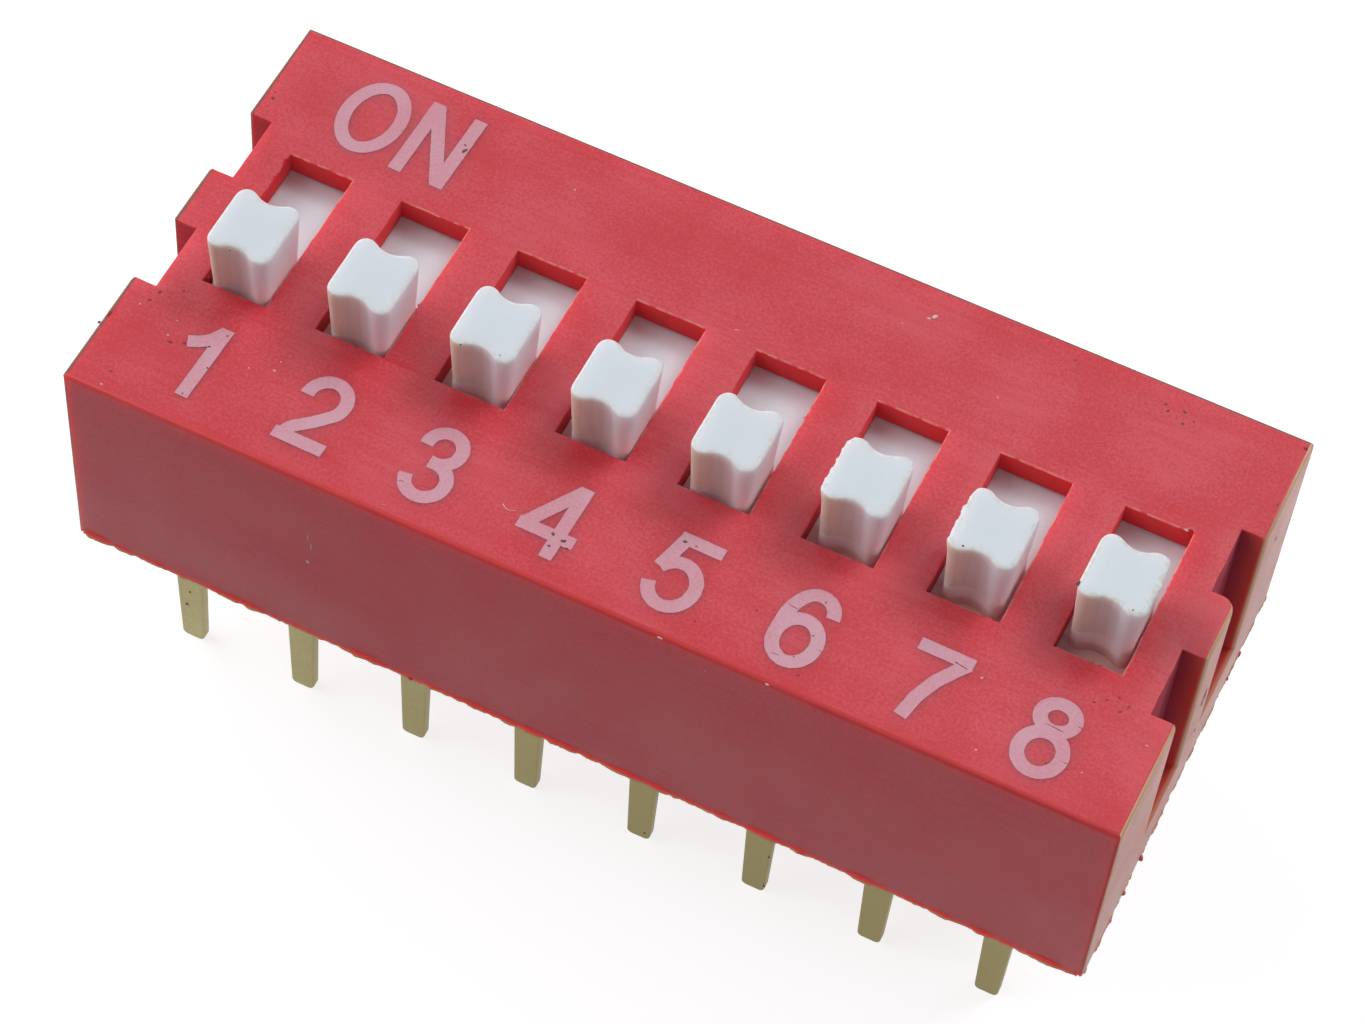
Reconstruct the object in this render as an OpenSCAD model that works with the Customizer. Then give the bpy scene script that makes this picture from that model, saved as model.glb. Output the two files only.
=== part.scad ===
// Eight-way slide DIP switch for through-hole boards.
// X runs along the row of switches, Y points from OFF to ON, Z points up.
// The origin is the middle of the pin pattern, on the face that meets the board.

/* [Row] */
// Number of switches in the row
positions = 8; // [2:1:8]
// Distance from one switch to the next
pitch = 2.54; // [2.5:0.01:2.6]
// Distance between the two rows of pins
row_spacing = 7.62; // [7.5:0.01:7.7]

/* [Cover] */
// Length that the cover adds to the row of switches
cover_extra = 1.25; // [1.2:0.01:1.6]
// Width of the cover, front to back
cover_w = 9.71; // [9.6:0.01:10.4]
// Height of the cover
cover_h = 5.26; // [5:0.01:6]
// Thickness of the cover's top
top_t = 0.5; // [0.4:0.01:0.6]
// Thickness of the cover's front and back walls
wall_t = 0.755; // [0.7:0.005:0.8]
// Rounding along the cover's top edges
edge_r = 0.12; // [0.05:0.01:0.2]
// Rounding of the cover's upright corners
corner_r = 0.11; // [0.08:0.01:0.2]

/* [End notches] */
// How far the notches reach into each end
notch_depth = 0.52; // [0.3:0.01:0.55]
// Height of the ledge below the notches
notch_floor = 1.4; // [0.5:0.1:3]
// Width of the tab between two notches
tab_w = 1.44; // [1.2:0.01:1.8]
// Width of one notch
notch_w = 1.55; // [1.2:0.01:1.8]
// Rounding of the one tab corner that tells the ends apart
tab_r = 0.3; // [0.2:0.01:0.4]

/* [Windows] */
// Width of a window in the cover's top
window_w = 1.47; // [1.44:0.01:1.5]
// How much narrower the two end windows are, on their outer sides
end_inset = 0.1; // [0:0.01:0.1]
// How far the windows sit left of the middles of their lanes
window_x = 0.03; // [0:0.01:0.05]
// Length of a window
window_l = 3.49; // [3.3:0.01:3.6]
// How far windows and notches sit behind the middle
window_y = 0.07; // [0:0.01:0.15]

/* [Slider] */
// Width of the knob where it passes the window
knob_w = 1.21; // [1.1:0.01:1.22]
// Length of the knob where it passes the window, along its travel
knob_l = 1.4; // [1.35:0.01:1.5]
// Height of the knob above the cover
knob_h = 1.3; // [0.8:0.01:1.6]
// How far the knob flares out at its top, to each side
flare = 0.065; // [0:0.005:0.07]
// Depth of the finger scoops in the knob's front and back
scoop_depth = 0.155; // [0.1:0.005:0.2]
// Rounding of the knob's four upright lips
lip_r = 0.16; // [0.1:0.01:0.2]
// Rounding round the knob's top
crown_r = 0.06; // [0.03:0.01:0.1]
// Width of the shelf that closes the window
shelf_w = 1.86; // [1.84:0.01:1.9]
// Thickness of the shelf
shelf_t = 0.75; // [0.6:0.01:0.9]
// Free play of the slider across its lane, to each side
side_play = 0.12; // [0.11:0.01:0.14]
// Where each slider sits in its free play, from the middle of its lane
play = [0.08, 0.08, 0.08, 0.08, 0.035, 0.05, 0.01, -0.05]; // [-0.08:0.01:0.08]
// How far each slider has been pushed from its OFF stop
pushed = [0, 0.03, 0.11, 0.06, 0, 0.21, 0.26, 0.44]; // [0:0.01:2]

/* [Contacts] */
// Thickness of the bowed contact's strip
bow_t = 0.1; // [0.08:0.01:0.12]
// Width of the bowed contact's strip
bow_w = 0.95; // [0.8:0.01:1]
// Distance from the middle of the bow to each foot
foot_reach = 1.45; // [1.4:0.01:1.5]

/* [Terminals] */
// Thickness of the terminal sheet
sheet_t = 0.25; // [0.2:0.01:0.3]
// Width of the pad that the bow slides on
pad_w = 1.24; // [1.1:0.01:1.3]
// Width of a pin at the body
pin_w = 0.64; // [0.5:0.01:0.7]
// Width of a pin at its tip
pin_tip_w = 0.5; // [0.4:0.01:0.5]
// Length of a pin below the body
pin_len = 3.8; // [3:0.1:4.2]

/* [Hidden] */
$fn = 48;

// the row and the cover
row_l = positions * pitch;
cover_l = row_l + cover_extra;
cavity_w = cover_w - 2 * wall_t;
lane_w = shelf_w + 2 * side_play;
cavity_l = (positions - 1) * pitch + lane_w;
ceiling_z = cover_h - top_t;
pin_y = row_spacing / 2;
fit_gap = 0.02;

// the slider's travel: the knob stops just short of each end of its window
stop_gap = 0.03;
slide_gap = 0.05;
travel = window_l - knob_l - 2 * stop_gap;
off_y = window_y - window_l / 2 + stop_gap + knob_l / 2;
shelf_top = ceiling_z - slide_gap;
shelf_l = 5.92;
holder_l = 3.5;
holder_bottom = 2.05;
pocket_l = 3.1;
pocket_w = 1.16;
pocket_top = 2.9;
boss_r = 0.2;
boss_h = 0.2;

// two ridges on the shelf meet grooves in the cover's ceiling at OFF and ON
detent_reach = 2.89;
ridge_r = 0.06;
ridge_sink = 0.02;
ridge_w = 1;
groove_r = 0.08;

// the base
floor_z = 1.6;
trough_w = 1.9;
trough_h = 0.45;
seal_bottom = 0.1;
rib_w = pitch - lane_w;
latch_z = 0.75;
latch_r = 0.1;
latch_clearance = 0.02;
ejector_r = 0.6;
ejector_depth = 0.06;

// the bowed contact: crown bends of one radius, feet of another
bow_gap = 0.02;
crown_half = 0.3;
bend_r = 0.25;
foot_r = 0.3;
lip_angle = 40;
lip_l = 0.2;
slit_w = 0.22;
crown_z = pocket_top - bow_t / 2;
foot_z = floor_z + bow_gap + bow_t / 2 + foot_r;
crown_hole_r = boss_r + 0.02;

// the terminals: the pads end where the feet need them to
bend_out_r = 0.35;
shoulder_z = 0.75;
tip_r = 0.12;
taper_z = -0.6;
front_pad_end = off_y + travel - foot_reach + foot_r;
rear_pad_end = off_y + foot_reach + 2 * foot_r;

RED = [0.80, 0.26, 0.30];
WHITE = [0.90, 0.90, 0.91];
GOLD = [0.72, 0.66, 0.45];
BRONZE = [0.78, 0.60, 0.36];
RESIN = [0.58, 0.36, 0.24];

// middle of switch i, counted from 1
function lane_x(i) = (i - (positions + 1) / 2) * pitch;

// middle of slider i as it rests
function slider_x(i) = lane_x(i) + play[i - 1];
function slider_y(i) = off_y + pushed[i - 1];

// points of an arc, both ends included
function arc(cx, cy, r, from, to, steps) =
    [for (k = [0:steps])
        let (a = from + (to - from) * k / steps) [cx + r * cos(a), cy + r * sin(a)]];

// ---------------------------------------------------------------- cover

// a rectangle centred on the origin with round corners
module round_rect(l, w, r) {
    square([l - 2 * r, w], center = true);
    square([l, w - 2 * r], center = true);
    for (x = [-1, 1], y = [-1, 1])
        translate([x * (l / 2 - r), y * (w / 2 - r)])
            circle(r);
}

// an upright outline with square feet at z = 0 and round top corners
module round_top(l, h, r) {
    translate([-l / 2, 0])
        square([l, h - r]);
    translate([-l / 2 + r, 0])
        square([l - 2 * r, h]);
    for (x = [-1, 1])
        translate([x * (l / 2 - r), h - r])
            circle(r);
}

// plan of the tabs in the middle of both ends; the right one has one rounder corner
module tab_plan() {
    difference() {
        round_rect(cover_l, tab_w, corner_r);
        translate([cover_l / 2 - tab_r, tab_w / 2 - tab_r])
            square(tab_r + 1);
    }
    translate([cover_l / 2 - tab_r, tab_w / 2 - tab_r])
        circle(tab_r);
}

// plan of the cover above the ledges: three blocks at each end, two notches between them
module cover_plan() {
    block_w = cover_w / 2 - tab_w / 2 - notch_w;
    square([cover_l - 2 * notch_depth, cover_w - 2 * corner_r], center = true);
    square([cover_l - 2 * notch_depth - 2 * corner_r, cover_w], center = true);
    translate([0, window_y])
        tab_plan();
    for (side = [-1, 1])
        translate([0, side * (cover_w - block_w) / 2 + window_y / 2])
            round_rect(cover_l, block_w - side * window_y, corner_r);
}

// outer form of the cover: the plan, trimmed by its rounded end and front outlines
module cover_form() {
    intersection() {
        union() {
            linear_extrude(cover_h)
                cover_plan();
            linear_extrude(notch_floor)
                round_rect(cover_l, cover_w, corner_r);
        }
        rotate([90, 0, 90])
            translate([0, 0, -cover_l / 2 - 1])
                linear_extrude(cover_l + 2)
                    round_top(cover_w, cover_h, edge_r);
        rotate([90, 0, 0])
            translate([0, 0, -cover_w / 2 - 1])
                linear_extrude(cover_w + 2)
                    round_top(cover_l, cover_h, edge_r);
    }
}

// a round bar along X, used for ridges and grooves
module bar_x(l, r) {
    rotate([0, 90, 0])
        cylinder(r = r, h = l, center = true);
}

// the way through the cover's top for knob i
module window(i) {
    left = window_w / 2 - (i == 1 ? end_inset : 0);
    right = window_w / 2 - (i == positions ? end_inset : 0);
    translate([lane_x(i) - window_x - left, window_y - window_l / 2, ceiling_z - 1])
        cube([left + right, window_l, top_t + 2]);
}

module cover() {
    color(RED) {
        difference() {
            cover_form();
            translate([-cavity_l / 2, -cavity_w / 2, -1])
                cube([cavity_l, cavity_w, ceiling_z + 1]);
            for (i = [1:positions])
                window(i);
            for (y = [off_y, off_y + travel], side = [-1, 1])
                translate([0, y + side * detent_reach, ceiling_z])
                    bar_x(cavity_l, groove_r);
        }
        // latches inside the long walls, which hold the base
        for (side = [-1, 1])
            translate([0, side * cavity_w / 2, latch_z])
                bar_x(cavity_l - pitch, latch_r);
    }
}

// ---------------------------------------------------------------- base

// one half of the underside's resin trough, at the front (-1) or the back (1)
module trough(side, bottom) {
    w = cavity_w / 2 - fit_gap;
    y0 = side > 0 ? w - trough_w : -w;
    translate([-cavity_l / 2 + fit_gap, y0, bottom])
        cube([cavity_l - 2 * fit_gap, trough_w, trough_h - bottom]);
}

module base_block() {
    l = cavity_l - 2 * fit_gap;
    w = cavity_w - 2 * fit_gap;
    translate([-l / 2, -w / 2, 0])
        cube([l, w, floor_z]);
    // ribs that part the lanes
    for (i = [1:positions - 1])
        translate([lane_x(i) + pitch / 2 - rib_w / 2, -w / 2, floor_z - 0.1])
            cube([rib_w, w, ceiling_z - fit_gap - floor_z + 0.1]);
}

module base() {
    color(RED)
        difference() {
            base_block();
            for (side = [-1, 1]) {
                trough(side, -1);
                translate([0, side * cavity_w / 2, latch_z])
                    bar_x(cavity_l + 1, latch_r + latch_clearance);
            }
            for (x = [-1, 1])
                translate([x * row_l / 4, 0, -1])
                    cylinder(r = ejector_r, h = 1 + ejector_depth);
            for (i = [1:2 * positions])
                terminal_form(i);
        }
}

// resin poured round one row of pins
module seal(side) {
    color(RESIN)
        difference() {
            trough(side, seal_bottom);
            for (i = [1:2 * positions])
                terminal_form(i);
        }
}

// ---------------------------------------------------------------- slider

// the knob's outline, drawn in by inset: two lips at each end with a scoop between them
function knob_outline(inset) =
    let (lip_x = knob_w / 2 - lip_r,
         lip_y = knob_l / 2 - lip_r,
         reach = (lip_x * lip_x + scoop_depth * scoop_depth) / (2 * scoop_depth),
         scoop_y = knob_l / 2 - scoop_depth + reach - lip_r,
         open = atan2(scoop_y - lip_y, lip_x),
         end = concat(
             arc(lip_x, lip_y, lip_r - inset, 0, 180 - open, 5),
             arc(0, scoop_y, reach - lip_r + inset, -open, open - 180, 8),
             arc(-lip_x, lip_y, lip_r - inset, open, 180, 5)))
    concat(end, [for (p = end) -p]);

// the knob: upright through the window, flared above it, with its top edge rolled over
module knob() {
    top = cover_h + knob_h;
    rings = concat([[0, shelf_top - 0.2], [0, cover_h]],
                   [for (a = [0:30:90])
                       [crown_r * (1 - cos(a)) - flare, top - crown_r + crown_r * sin(a)]]);
    count = len(knob_outline(0));
    points = [for (ring = rings, p = knob_outline(ring[0])) [p[0], p[1], ring[1]]];
    sides = [for (k = [0:len(rings) - 2], j = [0:count - 1])
        [k * count + j, (k + 1) * count + j,
         (k + 1) * count + (j + 1) % count, k * count + (j + 1) % count]];
    bottom = [for (j = [0:count - 1]) j];
    lid = [for (j = [count - 1:-1:0]) (len(rings) - 1) * count + j];
    polyhedron(points, concat(sides, [bottom], [lid]), convexity = 4);
}

// the slider about its own middle: knob, shelf, holder and detent ridges
module slider_form() {
    knob();
    translate([-shelf_w / 2, -shelf_l / 2, shelf_top - shelf_t])
        cube([shelf_w, shelf_l, shelf_t]);
    for (side = [-1, 1])
        translate([0, side * detent_reach, shelf_top - ridge_sink])
            bar_x(ridge_w, ridge_r);
    difference() {
        translate([-shelf_w / 2, -holder_l / 2, holder_bottom])
            cube([shelf_w, holder_l, shelf_top - shelf_t - holder_bottom + 0.1]);
        translate([-pocket_w / 2, -pocket_l / 2, holder_bottom - 1])
            cube([pocket_w, pocket_l, pocket_top - holder_bottom + 1]);
    }
    translate([0, 0, pocket_top - boss_h])
        cylinder(r = boss_r, h = boss_h + 0.1);
}

module slider(i) {
    color(WHITE)
        translate([slider_x(i), slider_y(i), 0])
            slider_form();
}

// ---------------------------------------------------------------- bowed contact

// heading of the straight arm that touches both the crown bend and the foot
function arm_heading() =
    let (dy = foot_reach - crown_half,
         dz = foot_z - (crown_z - bend_r))
    atan2(dz, dy) - asin((bend_r + foot_r) / norm([dy, dz]));

// one half of the strip's middle line, as [y, z, heading], from the crown to the tip
function bow_half() =
    let (down = arm_heading(),
         bend = [for (k = [1:6])
             let (a = down * k / 6)
             [crown_half - bend_r * sin(a), crown_z - bend_r + bend_r * cos(a), a]],
         foot = [for (k = [0:12])
             let (a = down + (lip_angle - down) * k / 12)
             [foot_reach + foot_r * sin(a), foot_z - foot_r * cos(a), a]],
         last = foot[12])
    concat([[crown_half, crown_z, 0]], bend, foot,
           [[last[0] + lip_l * cos(lip_angle), last[1] + lip_l * sin(lip_angle), lip_angle]]);

// edge of the strip at a distance d to the upper side of its middle line
function bow_edge(d) =
    let (half = bow_half(),
         whole = concat([for (k = [len(half) - 1:-1:0]) [-half[k][0], half[k][1], -half[k][2]]],
                        half))
    [for (p = whole) [p[0] - d * sin(p[2]), p[1] + d * cos(p[2])]];

module contact_form() {
    lower = bow_edge(-bow_t / 2);
    arm_l = foot_reach + 1 - crown_half - bend_r;
    difference() {
        rotate([90, 0, 90])
            translate([0, 0, -bow_w / 2])
                linear_extrude(bow_w)
                    polygon(concat(bow_edge(bow_t / 2),
                                   [for (k = [len(lower) - 1:-1:0]) lower[k]]));
        translate([0, 0, crown_z - 0.5])
            cylinder(r = crown_hole_r, h = 1);
        // each arm is split into two fingers
        for (side = [-1, 1])
            translate([-slit_w / 2, side > 0 ? foot_reach + 1 - arm_l : -foot_reach - 1,
                       floor_z - 1])
                cube([slit_w, arm_l, crown_z - floor_z + 2]);
    }
}

module contact(i) {
    color(BRONZE)
        translate([slider_x(i), slider_y(i), 0])
            contact_form();
}

// ---------------------------------------------------------------- terminals

// side view of a terminal: a pad on the floor, a bend and an upright leg.
// The first axis runs inwards from the pin's outer face, the second one upwards.
module terminal_side(pad_l) {
    translate([bend_out_r, floor_z - sheet_t])
        square([pad_l - bend_out_r, sheet_t]);
    translate([0, -pin_len])
        square([sheet_t, pin_len + floor_z - bend_out_r]);
    translate([bend_out_r, floor_z - bend_out_r])
        intersection() {
            difference() {
                circle(bend_out_r);
                circle(bend_out_r - sheet_t);
            }
            translate([-bend_out_r, 0])
                square(bend_out_r);
        }
}

// front view of a terminal: the wide pad and shoulders, and the tapered pin
function terminal_front() =
    let (tip_x = pin_tip_w / 2 - tip_r,
         half = concat([[pad_w / 2, floor_z + 1], [pad_w / 2, shoulder_z],
                        [pin_w / 2, shoulder_z], [pin_w / 2, taper_z]],
                       arc(tip_x, tip_r - pin_len, tip_r, 0, -90, 6)))
    concat(half, [for (k = [len(half) - 1:-1:0]) [-half[k][0], half[k][1]]]);

module terminal_blank(pad_l) {
    intersection() {
        rotate([90, 0, 90])
            translate([0, 0, -pad_w / 2])
                linear_extrude(pad_w)
                    terminal_side(pad_l);
        rotate([90, 0, 0])
            translate([0, 0, -pad_l - 1])
                linear_extrude(pad_l + 2)
                    polygon(terminal_front());
    }
}

// terminals 1 to n stand along the front, the others come back along the rear
module terminal_form(i) {
    outer = pin_y + sheet_t / 2;
    if (i <= positions)
        translate([lane_x(i), -outer, 0])
            terminal_blank(outer + front_pad_end);
    else
        translate([lane_x(2 * positions + 1 - i), outer, 0])
            mirror([0, 1, 0])
                terminal_blank(outer - rear_pad_end);
}

module terminal(i) {
    color(GOLD)
        terminal_form(i);
}

// ---------------------------------------------------------------- assembly

cover();
base();
seal(-1);  // seal_front
seal(1);  // seal_rear
for (i = [1:positions]) {
    slider(i);
    contact(i);
}
for (i = [1:2 * positions])
    terminal(i);
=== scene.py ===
# %% [markdown]
# # An eight-way DIP switch, finished in Blender
# The part is a small slide switch for circuit boards: a red moulded cover, eight white sliders
# and sixteen plated pins. Its solids come from a CAD model, which is loaded as a fixed frame.
# This lesson adds what the CAD leaves out: rounded and worn edges, moulded grain, printed
# marks, moulding flash, specks and grime, and the studio round it. Lengths are written in
# millimetres and multiplied by MM, because one Blender unit is a metre.

from math import cos, radians, sin

import bmesh
import bpy
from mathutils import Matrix, Quaternion, Vector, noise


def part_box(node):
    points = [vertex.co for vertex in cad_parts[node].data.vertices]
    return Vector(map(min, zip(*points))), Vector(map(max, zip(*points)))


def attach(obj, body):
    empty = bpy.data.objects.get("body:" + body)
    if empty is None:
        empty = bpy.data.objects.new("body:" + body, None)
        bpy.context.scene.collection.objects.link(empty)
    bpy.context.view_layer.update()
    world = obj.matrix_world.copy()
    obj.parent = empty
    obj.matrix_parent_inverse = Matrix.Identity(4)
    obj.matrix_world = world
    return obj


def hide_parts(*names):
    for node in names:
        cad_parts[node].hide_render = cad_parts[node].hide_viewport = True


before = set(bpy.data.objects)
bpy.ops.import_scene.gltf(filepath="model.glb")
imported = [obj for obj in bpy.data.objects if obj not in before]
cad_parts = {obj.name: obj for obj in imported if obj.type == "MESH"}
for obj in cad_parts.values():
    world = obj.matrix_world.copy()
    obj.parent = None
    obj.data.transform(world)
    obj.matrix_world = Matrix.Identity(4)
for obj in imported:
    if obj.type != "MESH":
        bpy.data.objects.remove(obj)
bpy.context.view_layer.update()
MM = 0.001

# %% [markdown]
# ## Measures from the frame
# Only the pitch of the row is typed in. The height of the cover's top, the ends of its walls
# and the tips of the pins are read from the solids, so the finish still fits if they change.

# %% Read the frame's measures
HOUSING = "housing"
cover_lo, cover_hi = (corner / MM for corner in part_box("cover"))
TOP_Z = cover_hi.z
END_X = cover_hi.x
SIDE_Y = cover_hi.y
POSITIONS = sum(name.startswith("slider_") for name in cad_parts)
PITCH = 2.54
LANES = [(i - (POSITIONS - 1) / 2) * PITCH for i in range(POSITIONS)]
PIN_TIP_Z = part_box("terminal_1")[0].z / MM
print("cover:", [round(v, 3) for v in cover_hi - cover_lo], " top at", round(TOP_Z, 3))

# %% [markdown]
# ## Camera
# The camera stands high in front of the part and a little to its right, with a long lens, so
# the row recedes only slightly. `to_track_quat` aims its -Z axis at the target. A small roll
# about that axis then tips the horizon, as in a hand-held shot.

# %% Place the camera
EYE = Vector((16.37, -42.748, 69.026))
LOOK_AT = Vector((0.87, -2.2, 5.26))
ROLL = radians(5.778)
LENS = 110.03
SENSOR_WIDTH = 36

camera_data = bpy.data.cameras.new("camera")
camera_data.lens = LENS
camera_data.sensor_width = SENSOR_WIDTH
camera_data.clip_start = 1 * MM
camera_data.clip_end = 10
camera = bpy.data.objects.new("camera", camera_data)
camera.rotation_mode = "QUATERNION"
camera.location = EYE * MM
camera.rotation_quaternion = (LOOK_AT - EYE).to_track_quat("-Z", "Y") @ Quaternion((0, 0, 1), ROLL)
bpy.context.scene.collection.objects.link(camera)
bpy.context.scene.camera = camera
print("distance to the part:", round((LOOK_AT - EYE).length, 1), "mm")

# %% [markdown]
# ## Helpers for node trees
# Shaders and geometry are both built from nodes. `add_node` makes one node, sets its options,
# and fills its sockets: a plain value is typed in, and another node's output is wired in.
# The helpers after it stand for one or two nodes that are needed often.

# %% Node helpers
def add_node(tree, kind, values=None, **options):
    """Adds a node. values maps an input's name or number to a value or to an output."""
    node = tree.nodes.new(kind)
    for option, choice in options.items():
        setattr(node, option, choice)
    for key, value in (values or {}).items():
        if isinstance(value, bpy.types.NodeSocket):
            tree.links.new(value, node.inputs[key])
        else:
            node.inputs[key].default_value = value
    return node


def calc(tree, operation, *values):
    """One Math node's result."""
    return add_node(tree, "ShaderNodeMath", dict(enumerate(values)), operation=operation).outputs[0]


def vector_calc(tree, operation, *values):
    """One Vector Math node's result."""
    return add_node(tree, "ShaderNodeVectorMath", dict(enumerate(values)),
                    operation=operation).outputs[0]


def mix_colours(tree, mask, first, second):
    """first where the mask is 0, second where it is 1."""
    return add_node(tree, "ShaderNodeMix", {0: mask, 6: first, 7: second},
                    data_type="RGBA").outputs[2]


def ramp(tree, value, low, high, to_low=0.0, to_high=1.0):
    """value from low..high stretched to to_low..to_high and held there."""
    return add_node(tree, "ShaderNodeMapRange",
                    {0: value, 1: low, 2: high, 3: to_low, 4: to_high},
                    interpolation_type="SMOOTHSTEP").outputs[0]


def rising(tree, coordinate, low, high):
    """0 below low and 1 above high, for a coordinate. low and high are in millimetres."""
    return ramp(tree, coordinate, low * MM, high * MM)


def falling(tree, coordinate, low, high, strength=1.0):
    """The strength below low and 0 above high, for a coordinate."""
    return ramp(tree, coordinate, low * MM, high * MM, strength, 0.0)


def noise_value(tree, position, scale, detail=2.0):
    """A noise value from 0 to 1. scale counts its waves in a unit of the position."""
    return add_node(tree, "ShaderNodeTexNoise",
                    {"Vector": position, "Scale": scale, "Detail": detail}).outputs[0]


def new_group(name, inputs, outputs, kind="ShaderNodeTree"):
    """An empty node group with named sockets, and its input and output nodes."""
    group = bpy.data.node_groups.new(name, kind)
    for socket, (shape, start) in inputs.items():
        made = group.interface.new_socket(socket, in_out="INPUT", socket_type="NodeSocket" + shape)
        if start is not None:
            made.default_value = start
    for socket, shape in outputs.items():
        group.interface.new_socket(socket, in_out="OUTPUT", socket_type="NodeSocket" + shape)
    return group, group.nodes.new("NodeGroupInput"), group.nodes.new("NodeGroupOutput")


def use_group(tree, group, **values):
    """Places a group in a tree. Underscores in the names stand for spaces."""
    node = tree.nodes.new("ShaderNodeGroup")
    node.node_tree = group
    for key, value in values.items():
        socket = node.inputs[key.replace("_", " ")]
        if isinstance(value, bpy.types.NodeSocket):
            tree.links.new(value, socket)
        else:
            socket.default_value = value
    return node

# %% [markdown]
# ## Floor and light
# The part stands on its pin tips on a white sheet, in a dim room with soft windows: a low one at
# the left, a higher one behind, and a faint one at the right. Nothing shines from straight
# above, so the deep openings of the cover are dark under their left and rear walls. Each
# light is a soft lobe: a dot product with its direction, raised to a power. What the camera
# and a glossy surface see is plain white, which Light Path tells apart from the light itself.

# %% Light the room
ROOM_GLOW = 0.04
# each window: its compass turn from +X, its height in degrees, its strength and its tightness
WINDOWS = [(180, 30, 4.1, 8), (60, 45, 9.5, 40), (330, 12, 1.2, 15)]
DAYLIGHT = (0.98, 1.0, 1.03, 1)


def seen_directly(tree):
    """1 for rays from the camera, and for mirrored and refracted ones."""
    path = add_node(tree, "ShaderNodeLightPath")
    glossy = calc(tree, "MAXIMUM", path.outputs["Is Camera Ray"], path.outputs["Is Glossy Ray"])
    return calc(tree, "MAXIMUM", glossy, path.outputs["Is Transmission Ray"])


world = bpy.data.worlds.new("window_light")
world.use_nodes = True
sky = world.node_tree
sky.nodes.clear()
direction = add_node(sky, "ShaderNodeTexCoord").outputs["Generated"]
glow = ROOM_GLOW
for turn, height, power, tightness in WINDOWS:
    flat = cos(radians(height))
    aim = (flat * cos(radians(turn)), flat * sin(radians(turn)), sin(radians(height)))
    facing = add_node(sky, "ShaderNodeVectorMath", {0: direction, 1: aim}, operation="DOT_PRODUCT")
    lobe = calc(sky, "POWER", calc(sky, "MAXIMUM", facing.outputs["Value"], 0.0), tightness)
    glow = calc(sky, "ADD", glow, calc(sky, "MULTIPLY", lobe, power))
strength = add_node(sky, "ShaderNodeMix", {0: seen_directly(sky), 2: glow, 3: 1.0})
background = add_node(sky, "ShaderNodeBackground",
                      {"Color": DAYLIGHT, "Strength": strength.outputs[0]})
add_node(sky, "ShaderNodeOutputWorld", {"Surface": background.outputs[0]})
bpy.context.scene.world = world
bpy.context.scene.view_settings.view_transform = "Standard"
print("windows:", len(WINDOWS))

# %% Lay the white sheet
SHEET_ALBEDO = 0.45
SHEET_GLOW = 0.80
SHEET_HALF = 600

sheet_material = bpy.data.materials.new("white_sheet")
sheet_material.use_nodes = True
tree = sheet_material.node_tree
tree.nodes.clear()
lit = add_node(tree, "ShaderNodeBsdfDiffuse", {"Color": (SHEET_ALBEDO,) * 3 + (1,)})
shine = add_node(tree, "ShaderNodeEmission",
                 {"Strength": calc(tree, "MULTIPLY", seen_directly(tree), SHEET_GLOW)})
both = add_node(tree, "ShaderNodeAddShader", {0: lit.outputs[0], 1: shine.outputs[0]})
add_node(tree, "ShaderNodeOutputMaterial", {"Surface": both.outputs[0]})

sheet_mesh = bpy.data.meshes.new("sheet")
corners = [(-SHEET_HALF, -SHEET_HALF), (SHEET_HALF, -SHEET_HALF),
           (SHEET_HALF, SHEET_HALF), (-SHEET_HALF, SHEET_HALF)]
sheet_mesh.from_pydata([(x * MM, y * MM, PIN_TIP_Z * MM) for x, y in corners], [], [(0, 1, 2, 3)])
sheet_mesh.materials.append(sheet_material)
sheet = bpy.data.objects.new("sheet", sheet_mesh)
bpy.context.scene.collection.objects.link(sheet)
print("the sheet lies at", round(PIN_TIP_Z, 2), "mm")

# %% [markdown]
# ## Shared effects
# Several finishes use the same few effects, so each is a node group that is built once:
# a fine moulded grain, long faint streaks, and scattered specks. They all read the object's
# own coordinates, so they stay on the plastic when a slider moves.

# %% Effect: fine grain
grain_group, inside, outside = new_group(
    "moulded grain",
    {"Position": ("Vector", None), "Grains per metre": ("Float", 20000.0)},
    {"Height": "Float", "Tone": "Float"})
fine = noise_value(grain_group, inside.outputs[0], inside.outputs[1])
broad_scale = calc(grain_group, "MULTIPLY", inside.outputs[1], 0.04)
broad = noise_value(grain_group, inside.outputs[0], broad_scale, 3.0)
grain_group.links.new(fine, outside.inputs["Height"])
tone = calc(grain_group, "MULTIPLY", calc(grain_group, "ADD", fine, broad), 0.5)
grain_group.links.new(ramp(grain_group, tone, 0.35, 0.65), outside.inputs["Tone"])

# %% Effect: streaks along the row
streak_group, inside, outside = new_group(
    "drawn streaks",
    {"Position": ("Vector", None), "Stretch": ("Vector", (300.0, 6000.0, 6000.0))},
    {"Mask": "Float"})
stretched = vector_calc(streak_group, "MULTIPLY", inside.outputs[0], inside.outputs[1])
streak_group.links.new(ramp(streak_group, noise_value(streak_group, stretched, 1.0), 0.45, 0.7),
                       outside.inputs["Mask"])

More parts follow.
